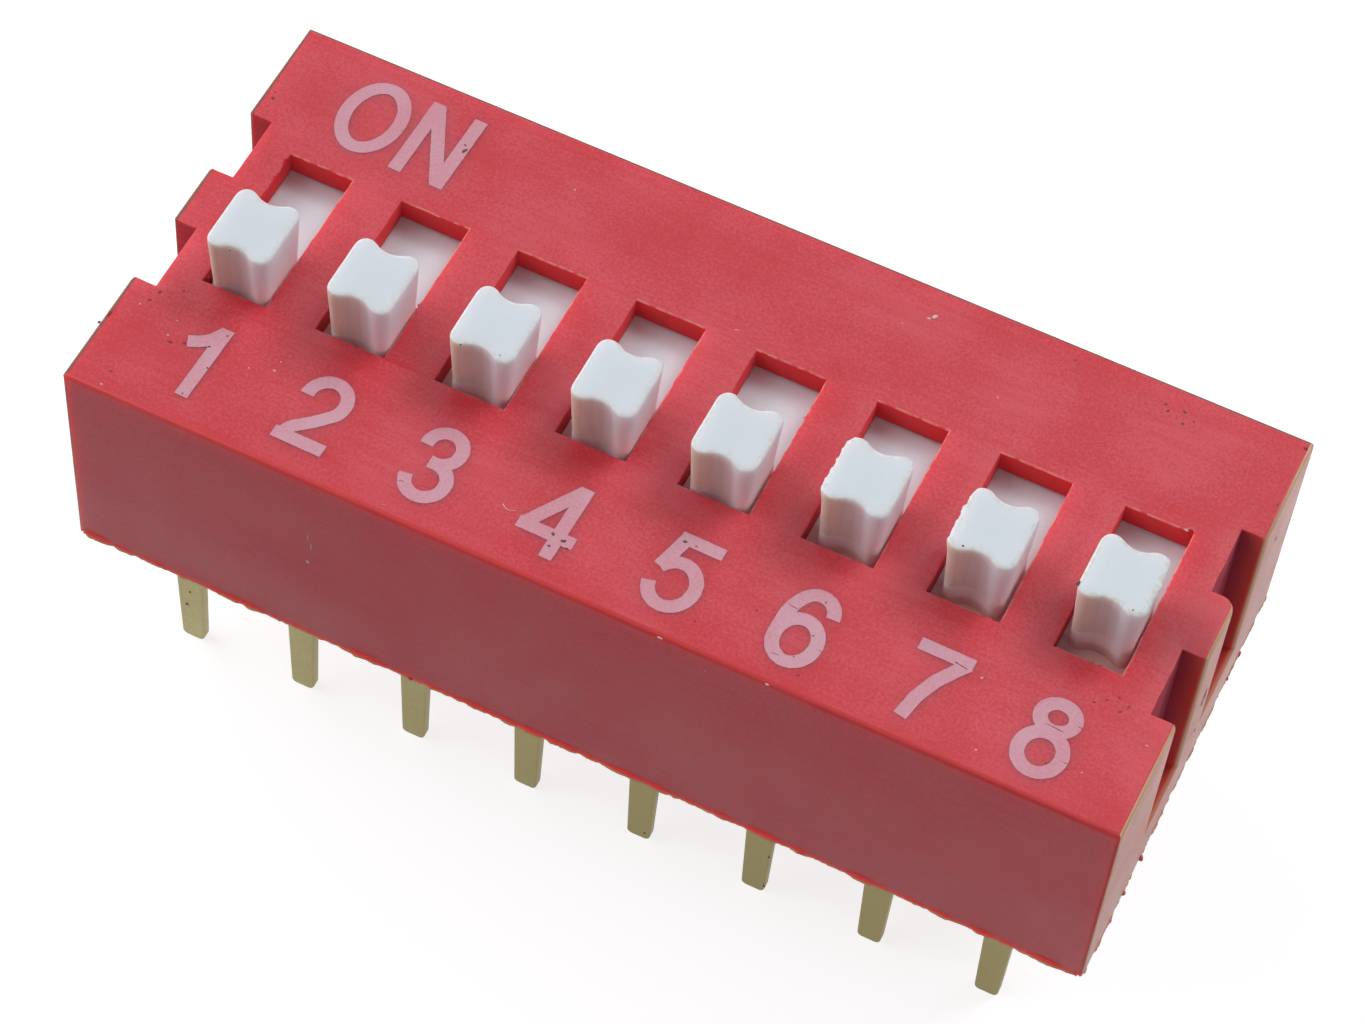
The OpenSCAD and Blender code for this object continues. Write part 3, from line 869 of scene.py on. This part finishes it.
# %% Cut a knob away and loft it again
def loft_knob(bm, middle, shelf_z, number):
    """Builds the knob on the open hole in the shelf."""
    ring = [v.co.xy / MM - middle for v in bm.verts if abs(v.co.z / MM - TOP_Z) < 0.001]
    ring.sort(key=lambda p: p.angle_signed(Vector((1, 0))))
    outline = relaxed(evenly_spaced(ring, RING_POINTS))
    directions = outward(outline)
    hole = cut_knob_away(bm, shelf_z)
    rim = bm.faces.layers.float["rim"]
    rings = knob_rings(shelf_z)
    lid_start = len(rings) - len(LID_INSETS)
    crown_start = lid_start - CROWN_STEPS - 1
    stack = []
    for level, (outset, z) in enumerate(rings):
        verts = []
        for p, d in zip(outline, directions):
            place = Vector((p.x, p.y, z)) + Vector((number * NOISE_STRIDE, 0, 0))
            wobble = HAND_WOBBLE * noise.noise(place * 4.0)
            if crown_start <= level < lid_start - 1:
                wobble += burr(number, place, d)
            spot = middle + p + d * (outset + wobble)
            verts.append(bm.verts.new(Vector((spot.x, spot.y, z)) * MM))
        if stack:
            for face in band(bm, stack[-1], verts):
                if crown_start < level < len(rings) - 2:
                    face[rim] = YELLOWED[number - 1]
        stack.append(verts)
    centre = Vector((middle.x * MM, middle.y * MM, KNOB_TOP_Z * MM))
    last = [v.co.copy() for v in stack[-1]]
    for share in LID_SHARES:
        verts = [bm.verts.new(centre.lerp(co, share)) for co in last]
        band(bm, stack[-1], verts)
        stack.append(verts)
    tip = bm.verts.new(centre)
    for j in range(RING_POINTS):
        bm.faces.new((stack[-1][j], stack[-1][(j + 1) % RING_POINTS], tip))
    foot = set(stack[0])
    first = [e for e in bm.edges if e.is_boundary and e.verts[0] in foot]
    bmesh.ops.bridge_loops(bm, edges=hole + first)
    bmesh.ops.recalc_face_normals(bm, faces=bm.faces)

# %% Finish the sliders
SHELF_ROUND = 0.03
KNOB_HALF = (0.8, 0.9)
# the painted shade on the knobs' front fades towards the right in these steps
SHADE_STEPS = (0.25, 0.5, 0.75, 1.0)
for i in range(1, POSITIONS + 1):
    low, high = (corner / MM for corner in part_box(f"slider_{i}"))
    middle = ((low + high) / 2).xy
    bm = welded(f"slider_{i}")
    decks = [f for f in bm.faces if f.normal.z > 0.99 and f.calc_center_median().z < TOP_Z * MM]
    shelf_z = max(decks, key=lambda f: f.calc_area()).verts[0].co.z / MM

    def off_the_knob(place):
        """True on the holder and the shelf, clear of the knob."""
        beside = abs(place.x - middle.x) > KNOB_HALF[0] or abs(place.y - middle.y) > KNOB_HALF[1]
        return place.z < shelf_z + 0.01 and beside

    soften(bm, sharp_edges(bm, where=off_the_knob), SHELF_ROUND, steps=2)
    loft_knob(bm, middle, shelf_z, i)
    # painted shade on the knob's front, fullest at its left
    for share in SHADE_STEPS:
        paint(bm, "skin", share, lambda m, n: n.y < -0.5 and m.z > TOP_Z + 0.15
              and m.x < middle.x + 0.45 - 0.8 * share)
    open_edges = sum(e.is_boundary for e in bm.edges)
    slider = piece_from(bm, f"slider_{i}_finished", slider_white, f"switch_{i}")
    smooth_finish(slider, angle=35)
    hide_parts(f"slider_{i}")
    print("slider", i, "shelf at", round(shelf_z, 3), " open edges:", open_edges)

# %% [markdown]
# ## Terminals and inner solids
# The pins were stamped from sheet and then plated, so all their edges are softened a little.
# The base, the resin and the contacts keep their CAD shape and only get their finishes.

# %% Finish the terminals
PIN_ROUND = 0.04
for i in range(1, 2 * POSITIONS + 1):
    bm = welded(f"terminal_{i}")
    soften(bm, sharp_edges(bm), PIN_ROUND, steps=2)
    pin = piece_from(bm, f"terminal_{i}_finished", gold_plate, HOUSING)
    smooth_finish(pin)
    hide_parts(f"terminal_{i}")
print("pins:", 2 * POSITIONS, "with", len(pin.data.polygons), "faces each")

# %% Give the inner solids their finishes
INNER = {"base": base_red, "seal": seal_resin, "contact": spring_bronze}
for name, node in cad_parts.items():
    finish = INNER.get(name.split("_")[0])
    if finish:
        for slot in node.material_slots:
            slot.material = finish
print("inner finishes:", {name: finish.name for name, finish in INNER.items()})

# %% [markdown]
# ## Growing pieces from wires and points
# Prints, flash and crumbs all follow a drawn path or sit at chosen points, which is what
# Geometry Nodes are good at. `grow` makes a bare carrier mesh, runs a tree on it, keeps the
# result as a plain mesh, and throws the carrier away with its modifier.

# %% Grow helper
def set_input(modifier, tree, name, value):
    """Sets a modifier's input by the identifier of the socket with this name."""
    socket = next(s for s in tree.interface.items_tree
                  if s.item_type == "SOCKET" and s.in_out == "INPUT" and s.name == name)
    modifier[socket.identifier] = value


def grow(name, tree, points, edges, inputs, body, slot, attributes=None):
    """Runs a tree on points and edges, given in millimetres, and lets the result ride."""
    wire = bpy.data.meshes.new(name + "_wire")
    wire.from_pydata(points, edges, [])
    for title, values in (attributes or {}).items():
        layer = wire.attributes.new(title, "FLOAT_VECTOR", "POINT")
        for k, value in enumerate(values):
            layer.data[k].vector = value
    carrier = bpy.data.objects.new(name + "_wire", wire)
    bpy.context.scene.collection.objects.link(carrier)
    modifier = carrier.modifiers.new("grow", "NODES")
    modifier.node_group = tree
    for key, value in inputs.items():
        set_input(modifier, tree, key, value)
    depsgraph = bpy.context.evaluated_depsgraph_get()
    mesh = bpy.data.meshes.new_from_object(carrier.evaluated_get(depsgraph), depsgraph=depsgraph)
    mesh.name = name
    carrier.modifiers.clear()
    bpy.data.objects.remove(carrier)
    keep_piece(mesh, name, body)
    print(name, len(mesh.polygons), "faces")


def end_tree(tree, geometry, inside, outside):
    """The close of every tree: millimetres to metres, real geometry, and the material."""
    metres = add_node(tree, "GeometryNodeTransform", {"Geometry": geometry, "Scale": (MM, MM, MM)})
    real = add_node(tree, "GeometryNodeRealizeInstances", {0: metres.outputs[0]})
    done = add_node(tree, "GeometryNodeSetMaterial",
                    {"Geometry": real.outputs[0], "Material": inside.outputs["Material"]})
    tree.links.new(done.outputs[0], outside.inputs[0])


def fine_line(tree, geometry, step):
    """The wire as a curve with a point at every step."""
    line = add_node(tree, "GeometryNodeMeshToCurve", {0: geometry})
    return add_node(tree, "GeometryNodeResampleCurve",
                    {"Curve": line.outputs[0], "Length": step}, mode="LENGTH").outputs[0]


def noise_offset(tree, scale, amount):
    """An offset at each place, up to the amount, for ragged edges."""
    place = add_node(tree, "GeometryNodeInputPosition").outputs[0]
    cloud = add_node(tree, "ShaderNodeTexNoise", {"Vector": place, "Scale": scale, "Detail": 3.0})
    centred = vector_calc(tree, "SUBTRACT", cloud.outputs["Color"], (0.5, 0.5, 0.5))
    return vector_calc(tree, "MULTIPLY", centred, amount)


def frayed(tree, geometry, scale, x, y, z):
    """The geometry with its points moved by a noise, up to x, y and z."""
    amount = add_node(tree, "ShaderNodeCombineXYZ", {0: x, 1: y, 2: z}).outputs[0]
    return add_node(tree, "GeometryNodeSetPosition",
                    {"Geometry": geometry, "Offset": noise_offset(tree, scale, amount)}).outputs[0]

# %% [markdown]
# ## Printed marks
# ON and the digits are stamped in white ink. Each sign is drawn by its centre lines, as a
# sign writer would with a flat brush. The ink tree sweeps a flat bar along them, frays its
# edges a little, and joins the bars into one thin film.

# %% Draw the signs' centre lines
CAP = 1.74


def bend(cx, cy, rx, ry, start, end, steps=20):
    """Points of an elliptic arc, from one angle to another, in degrees."""
    turns = [radians(start + (end - start) * k / steps) for k in range(steps + 1)]
    return [(cx + rx * cos(a), cy + ry * sin(a)) for a in turns]


SIGNS = {
    "1": [[(0, 0), (0, CAP)], [(-0.54, 1.16), (-0.34, 1.25), (-0.17, 1.38), (-0.02, 1.64)]],
    "2": [bend(0, 1.20, 0.39, 0.43, 185, -38) + [(0.05, 0.66), (-0.27, 0.38), (-0.38, 0.14)],
          [(-0.53, 0.145), (0.53, 0.145)]],
    "3": [bend(-0.03, 1.27, 0.35, 0.367, 188, -90) + [(-0.14, 0.903)],
          [(-0.14, 0.895)] + bend(0, 0.497, 0.39, 0.40, 90, -176)],
    "4": [[(0.24, 0), (0.24, CAP)], [(-0.47, 0.52), (0.21, 1.66)], [(-0.58, 0.52), (0.58, 0.52)]],
    "5": [[(-0.30, 1.62), (0.58, 1.62)], [(-0.16, 1.70), (-0.36, 0.86)],
          bend(0.03, 0.60, 0.435, 0.506, 150, -168)],
    "6": [bend(0, 0.582, 0.406, 0.488, 0, 360, 36),
          [(-0.406, 0.58)] + bend(0.02, 0.90, 0.426, 0.77, 180, 100)
          + bend(0.03, 1.30, 0.38, 0.37, 90, 0)],
    "7": [[(-0.54, 1.62), (0.54, 1.62)],
          [(0.45, 1.60), (0.30, 1.38), (0.06, 1.0), (-0.12, 0.53), (-0.205, 0.03)]],
    "8": [bend(0, 1.34, 0.335, 0.30, 0, 360, 32), bend(0, 0.53, 0.41, 0.44, 0, 360, 36)],
}
O_STROKES = [bend(0, 0.965, 0.547, 0.804, 0, 360, 48)]
N_STROKES = [[(0, 0), (0, 1.89)], [(0.91, 0), (0.91, 1.89)], [(0.02, 1.80), (0.88, 0.09)]]
# where each digit stands: distance from the middle of its lane
SHIFTS = [0.31, 0.19, 0.14, 0.10, 0.08, 0.07, 0.09, -0.12]
BASELINE = -4.32
PRINT_TURN = radians(-0.58)
LEAN = radians(1.6)


def sign_wires(placed):
    """Points and edges of signs: placed is a list of (strokes, x, y)."""
    points, edges = [], []
    for strokes, x, y in placed:
        for stroke in strokes:
            first = len(points)
            for px, py in stroke:
                sx, sy = x + px + py * sin(LEAN), y + py
                points.append((sx, sy + sx * sin(PRINT_TURN), TOP_Z))
            edges += [(k, k + 1) for k in range(first, len(points) - 1)]
    return points, edges


print("signs:", "".join(SIGNS))

# %% Build the ink tree
STROKE_STEP = 0.04
FRAY_WAVES = 9.0


def ink_tree():
    """Sweeps a flat bar along the strokes and joins the bars into one film."""
    tree, inside, outside = new_group(
        "ink film",
        {"Geometry": ("Geometry", None), "Stroke": ("Float", 0.27), "Film": ("Float", 0.02),
         "Fray": ("Float", 0.024), "Material": ("Material", None)},
        {"Geometry": "Geometry"}, kind="GeometryNodeTree")
    line = fine_line(tree, inside.outputs["Geometry"], STROKE_STEP)
    flat = add_node(tree, "GeometryNodeSetCurveNormal", {"Curve": line}, mode="Z_UP")
    bar = add_node(tree, "GeometryNodeCurvePrimitiveQuadrilateral",
                   {"Width": inside.outputs["Stroke"], "Height": inside.outputs["Film"]})
    swept = add_node(tree, "GeometryNodeCurveToMesh",
                     {"Curve": flat.outputs[0], "Profile Curve": bar.outputs[0], "Fill Caps": True})
    fray = inside.outputs["Fray"]
    joined = add_node(tree, "GeometryNodeMeshBoolean", {"Self Intersection": True},
                      operation="UNION", solver="EXACT")
    bars = frayed(tree, swept.outputs[0], FRAY_WAVES, fray, fray, 0.0)
    tree.links.new(bars, joined.inputs["Mesh 2"])
    crisp = add_node(tree, "GeometryNodeSetShadeSmooth",
                     {"Geometry": joined.outputs[0], "Shade Smooth": False})
    end_tree(tree, crisp.outputs[0], inside, outside)
    return tree


ink = ink_tree()
digits = [(SIGNS[str(i + 1)], LANES[i] + SHIFTS[i], BASELINE) for i in range(POSITIONS)]
on_signs = [(O_STROKES, -8.60, 2.32), (N_STROKES, -7.61, 2.34)]
for name, placed, stroke in (("print_digits", digits, 0.27), ("print_on", on_signs, 0.275)):
    grow(name, ink, *sign_wires(placed), {"Stroke": stroke, "Material": mark_ink},
         HOUSING, "red_plastic")

# %% [markdown]
# ## Moulding flash
# Where the two halves of the mould met, along the cover's lower edge, a thin ragged line of
# plastic was squeezed out. The flash tree draws it as a bead on a path, and a noise swells
# and starves the bead along the way. The same tree, made very thin, lays a fibre on the top.

# %% Build the flash tree
BEAD_STEP = 0.05
BEAD_SIDES = 8
SWELL_WAVES = 2.2
RAG_WAVES = 11.0


def flash_tree():
    """Lays a round bead along a wire, swelling and starving along its way."""
    tree, inside, outside = new_group(
        "ragged bead",
        {"Geometry": ("Geometry", None), "Radius": ("Float", 0.04), "Rag": ("Float", 0.05),
         "Thinnest": ("Float", 0.3), "Thickest": ("Float", 1.6), "Material": ("Material", None)},
        {"Geometry": "Geometry"}, kind="GeometryNodeTree")
    line = fine_line(tree, inside.outputs["Geometry"], BEAD_STEP)
    ring = add_node(tree, "GeometryNodeCurvePrimitiveCircle",
                    {"Resolution": BEAD_SIDES, "Radius": inside.outputs["Radius"]})
    place = add_node(tree, "GeometryNodeInputPosition").outputs[0]
    swell = ramp(tree, noise_value(tree, place, SWELL_WAVES, 4.0), 0.35, 0.68,
                 inside.outputs["Thinnest"], inside.outputs["Thickest"])
    bead = add_node(tree, "GeometryNodeCurveToMesh",
                    {"Curve": line, "Profile Curve": ring.outputs[0],
                     "Scale": swell, "Fill Caps": True})
    rag = inside.outputs["Rag"]
    ragged = frayed(tree, bead.outputs[0], RAG_WAVES, rag, rag, rag)
    smooth = add_node(tree, "GeometryNodeSetShadeSmooth", {"Geometry": ragged})
    end_tree(tree, smooth.outputs[0], inside, outside)
    return tree


flash = flash_tree()


def lay_bead(name, path, radius, material, rag=0.05, thinnest=0.3):
    """Grows a bead along a path of points."""
    edges = [(k, k + 1) for k in range(len(path) - 1)]
    inputs = {"Radius": radius, "Rag": rag, "Thinnest": thinnest, "Material": material}
    grow(name, flash, path, edges, inputs, HOUSING, "red_plastic")

# %% Lay the flash and a fibre
FRONT_Y = -SIDE_Y + 0.03
ROW_END = END_X - 0.1
SIDE_END = FRONT_Y + 0.1
EDGE_X = END_X - 0.02


def along_row(y, z):
    """A path along the whole row."""
    return [(-ROW_END, y, z), (ROW_END, y, z)]


def across_end(x, z):
    """A path across one end of the row."""
    return [(x, SIDE_END, z), (x, SIDE_Y - 0.1, z)]


# the first bead is a painted glow: a smooth red band with a faint emission along the front's lower
# edge
lay_bead("skirt_glow_front", along_row(FRONT_Y + 0.01, 0.07), 0.05, skirt_glow_red, rag=0.015, thinnest=0.9)
lay_bead("flash_front", along_row(FRONT_Y, -0.01), 0.042, flash_tan, rag=0.06, thinnest=0.5)
lay_bead("flash_rear", along_row(-FRONT_Y, 0.02), 0.03, flash_tan)
lay_bead("flash_right", across_end(EDGE_X, 0.02), 0.030, flash_tan, rag=0.06)
lay_bead("flash_left", across_end(-EDGE_X, 0.02), 0.035, flash_tan)
lay_bead("fibre", [(-2.14, -3.60, TOP_Z + 0.01), (-2.05, -3.67, TOP_Z + 0.02),
                   (-1.93, -3.68, TOP_Z + 0.02), (-1.86, -3.62, TOP_Z + 0.01)],
         0.008, nick_pale, rag=0.01, thinnest=0.8)

# %% [markdown]
# ## Specks, crumbs and nicks
# Years in a drawer left dust, grime and small nicks on the part. Each is a flattened crumb
# with its own place, half lengths and turn. The crumb tree sets a ball on every point, squashes
# and turns it by the point's attributes, and dents it with noise.

# %% Build the crumb tree
BALL_CUTS = 2
DENT_WAVES = 14.0


def crumb_tree():
    """Sets a dented ball on each point, sized and turned by the point's attributes."""
    tree, inside, outside = new_group(
        "dented crumbs",
        {"Geometry": ("Geometry", None), "Dents": ("Float", 1.4), "Material": ("Material", None)},
        {"Geometry": "Geometry"}, kind="GeometryNodeTree")
    size = add_node(tree, "GeometryNodeInputNamedAttribute", {"Name": "half size"},
                    data_type="FLOAT_VECTOR").outputs["Attribute"]
    turn = add_node(tree, "GeometryNodeInputNamedAttribute", {"Name": "turn"},
                    data_type="FLOAT_VECTOR").outputs["Attribute"]
    ball = add_node(tree, "GeometryNodeMeshIcoSphere", {"Radius": 1.0, "Subdivisions": BALL_CUTS})
    turned = add_node(tree, "FunctionNodeEulerToRotation", {0: turn})
    balls = add_node(tree, "GeometryNodeInstanceOnPoints",
                     {"Points": inside.outputs["Geometry"], "Instance": ball.outputs[0],
                      "Rotation": turned.outputs[0], "Scale": size})
    solid = add_node(tree, "GeometryNodeRealizeInstances", {0: balls.outputs[0]})
    offset = noise_offset(tree, DENT_WAVES, (1.0, 1.0, 1.0))
    dents = vector_calc(tree, "MULTIPLY", offset, size)
    amount = add_node(tree, "ShaderNodeVectorMath",
                      {0: dents, "Scale": inside.outputs["Dents"]}, operation="SCALE")
    dented = add_node(tree, "GeometryNodeSetPosition",
                      {"Geometry": solid.outputs[0], "Offset": amount.outputs[0]})
    smooth = add_node(tree, "GeometryNodeSetShadeSmooth", {"Geometry": dented.outputs[0]})
    end_tree(tree, smooth.outputs[0], inside, outside)
    return tree


crumbs = crumb_tree()


def scatter(name, marks, material, body=HOUSING, slot="red_plastic"):
    """Sets crumbs down: each mark is its place, its half lengths and its turn in degrees."""
    grow(name, crumbs, [place for place, _, _ in marks], [], {"Material": material}, body, slot,
         {"half size": [size for _, size, _ in marks],
          "turn": [(0, 0, radians(turn)) for _, _, turn in marks]})


def on_cover(marks):
    """Marks on the cover's top, given as x, y, half length, half width and turn."""
    return [((x, y, TOP_Z + 0.006), (a, b, 0.012), turn) for x, y, a, b, turn in marks]

# %% [markdown]
# The crumbs on the top are of three kinds: dark grime, reddish dirt, and pale nicks, where a
# scratch has turned the red plastic white. They lie in small groups, because dirt gathers
# where something has rubbed. A few more scratch the front, crack the ink, roughen the flash,
# and dot the pins and the knobs.

# %% Set dark grime on the top
scatter("grime_dark", on_cover([
    (-6.60, 3.49, 0.08, 0.035, 70), (-6.66, 3.62, 0.03, 0.02, 0), (-0.97, -4.03, 0.04, 0.03, 0),
    (-0.79, -3.81, 0.07, 0.035, 20), (-1.03, -3.76, 0.05, 0.03, -30), (-0.66, -3.93, 0.03, 0.02, 0),
    (8.31, 4.33, 0.04, 0.025, 10), (7.92, 4.33, 0.03, 0.02, 0), (8.02, 4.20, 0.03, 0.02, 50),
    (8.38, 4.05, 0.03, 0.02, 0), (-8.66, -3.00, 0.03, 0.025, 0), (-8.48, -2.62, 0.03, 0.02, 30),
    (-8.45, -3.45, 0.025, 0.02, 0), (-8.57, -4.18, 0.02, 0.02, 0), (1.20, -2.78, 0.05, 0.03, 15),
    (4.15, -3.54, 0.03, 0.015, 30), (4.03, -4.11, 0.02, 0.015, 0), (4.26, -4.43, 0.025, 0.015, 40),
    (3.01, -3.51, 0.025, 0.015, 20), (4.06, -2.78, 0.03, 0.02, 70), (2.11, -4.25, 0.02, 0.015, 0),
    (6.70, -2.85, 0.025, 0.02, 0), (6.00, 4.48, 0.02, 0.02, 0)]), grime_grey)

# %% Set reddish dirt on the top
scatter("grime_reddish", on_cover([
    (-9.37, -3.24, 0.05, 0.025, 0), (-10.54, 2.88, 0.04, 0.03, 0), (-10.57, 3.04, 0.025, 0.02, 0),
    (-10.70, -3.20, 0.09, 0.03, 80), (-10.77, -3.47, 0.03, 0.04, 0), (-10.00, -4.35, 0.03, 0.02, 0),
    (-10.19, -2.56, 0.04, 0.02, 20), (-10.12, -2.31, 0.04, 0.02, 70), (-9.74, -2.08, 0.03, 0.02, 0),
    (-9.12, -3.14, 0.025, 0.02, 0), (-9.48, -1.57, 0.025, 0.02, 0), (10.66, 4.62, 0.04, 0.03, 0),
    (10.66, 3.16, 0.03, 0.025, 0), (9.25, -2.45, 0.035, 0.02, 0), (9.75, -2.42, 0.04, 0.02, 40),
    (9.86, -2.25, 0.05, 0.015, 60), (9.62, -2.15, 0.04, 0.015, -30), (9.45, -2.30, 0.03, 0.015, 15),
    (8.97, -4.03, 0.02, 0.02, 0), (8.55, 4.19, 0.02, 0.02, 0), (1.43, -2.78, 0.03, 0.02, 0)]),
    grime_brown)

# %% Set pale nicks on the top
scatter("nicks_pale", on_cover([
    (3.20, 4.14, 0.07, 0.04, 60), (3.12, 4.05, 0.04, 0.025, 0), (7.24, -2.93, 0.03, 0.03, 0),
    (-7.31, -2.91, 0.03, 0.025, 0), (-7.30, -2.67, 0.02, 0.015, 0), (-7.76, -3.08, 0.02, 0.015, 0),
    (-9.48, -3.12, 0.025, 0.02, 0), (-9.49, -2.75, 0.02, 0.015, 0), (-10.31, -2.73, 0.025, 0.02, 0),
    (-0.03, 2.06, 0.05, 0.012, 10), (7.75, -4.37, 0.025, 0.02, 0), (10.45, -2.86, 0.025, 0.02, 0),
    (-10.01, -4.70, 0.025, 0.02, 0), (-4.08, -4.64, 0.04, 0.01, 25), (-4.27, 3.64, 0.02, 0.02, 0)])
    + [((9.34, 1.83, TOP_Z - 0.01), (0.05, 0.02, 0.02), 0)], nick_pale)

# %% Scratch the front and crack the ink
scatter("front_scratches", [
    ((-5.58, -SIDE_Y, 3.40), (0.012, 0.006, 0.10), 0),
    ((-5.52, -SIDE_Y, 3.14), (0.012, 0.006, 0.12), 0),
    ((-5.60, -SIDE_Y, 2.56), (0.04, 0.006, 0.04), 0), ((-9.23, -SIDE_Y, 3.53), (0.02, 0.006, 0.02), 0),
    ((1.69, -SIDE_Y + 0.02, TOP_Z - 0.06), (0.06, 0.02, 0.015), 0),
    ((3.84, -SIDE_Y + 0.02, TOP_Z - 0.05), (0.05, 0.02, 0.015), 0),
    ((2.63, -SIDE_Y, 4.79), (0.015, 0.006, 0.02), 0),
    ((6.34, -SIDE_Y, 3.96), (0.015, 0.006, 0.015), 0)], nick_pale)
scatter("ink_cracks", [((3.55, -3.135, TOP_Z + 0.009), (0.12, 0.010, 0.006), -8),
                       ((3.70, -4.215, TOP_Z + 0.009), (0.09, 0.008, 0.006), 5),
                       ((-4.04, -4.02, TOP_Z + 0.009), (0.06, 0.008, 0.006), 20),
                       ((6.82, -2.87, TOP_Z + 0.009), (0.16, 0.010, 0.006), -10),
                       ((8.82, -3.29, TOP_Z + 0.009), (0.24, 0.010, 0.006), -4)], cover_red)

# %% Set crumbs on the flash and the right end
RIGHT_X = END_X + 0.02
scatter("flash_lumps", [((RIGHT_X, -1.95, 0.0), (0.04, 0.08, 0.05), 0),
                        ((RIGHT_X - 0.01, -2.80, -0.01), (0.035, 0.05, 0.04), 0),
                        ((RIGHT_X - 0.01, -3.48, -0.01), (0.03, 0.05, 0.04), 0),
                        ((RIGHT_X - 0.01, 3.25, 0.0), (0.03, 0.08, 0.04), 0),
                        ((RIGHT_X - 0.01, 2.60, 0.0), (0.03, 0.05, 0.04), 0),
                        ((END_X, 0.16, 2.80), (0.012, 0.16, 0.26), 0),
                        ((4.98, -SIDE_Y, 0.0), (0.07, 0.03, 0.04), 0),
                        ((-3.4, -SIDE_Y, 0.0), (0.06, 0.03, 0.03), 0)], cover_red)
scatter("end_specks", [((END_X, 0.21, 1.55), (0.01, 0.04, 0.05), 0),
                       ((END_X, 3.4, 3.9), (0.01, 0.05, 0.04), 0)], grime_brown)
scatter("pin_specks", [((-8.98, -3.94, -2.63), (0.03, 0.01, 0.03), 0),
                       ((-8.89, -3.94, -2.12), (0.02, 0.01, 0.03), 0),
                       ((1.41, -3.94, -3.56), (0.025, 0.01, 0.02), 0),
                       ((4.07, -3.94, -2.35), (0.025, 0.01, 0.03), 0),
                       ((4.06, -3.94, -3.53), (0.03, 0.01, 0.02), 0)], grime_brown,
        slot="gold_plate")

# %% Set specks on the knobs
KNOB_SPECKS = {
    1: [((-9.263, -1.69, 6.50), (0.025, 0.015, 0.008), 0),
        ((-8.92, -1.66, 6.545), (0.02, 0.015, 0.006), 0),
        ((-9.12, -1.61, 5.83), (0.012, 0.008, 0.015), 0)],
    3: [((-4.09, -1.57, 6.545), (0.02, 0.02, 0.01), 0),
        ((-3.33, -1.45, KNOB_TOP_Z), (0.015, 0.015, 0.008), 0)],
    5: [((1.344, -1.54, 6.42), (0.025, 0.012, 0.02), 0)],
    7: [((6.005, -1.315, KNOB_TOP_Z), (0.025, 0.02, 0.008), 0)],
    8: [((9.275, -1.147, KNOB_TOP_Z), (0.02, 0.015, 0.008), 0),
        ((8.18, -1.065, 6.54), (0.03, 0.06, 0.03), 0)],
}
for i, marks in KNOB_SPECKS.items():
    scatter(f"knob_specks_{i}", marks, grime_grey, body=f"switch_{i}", slot="white_plastic")
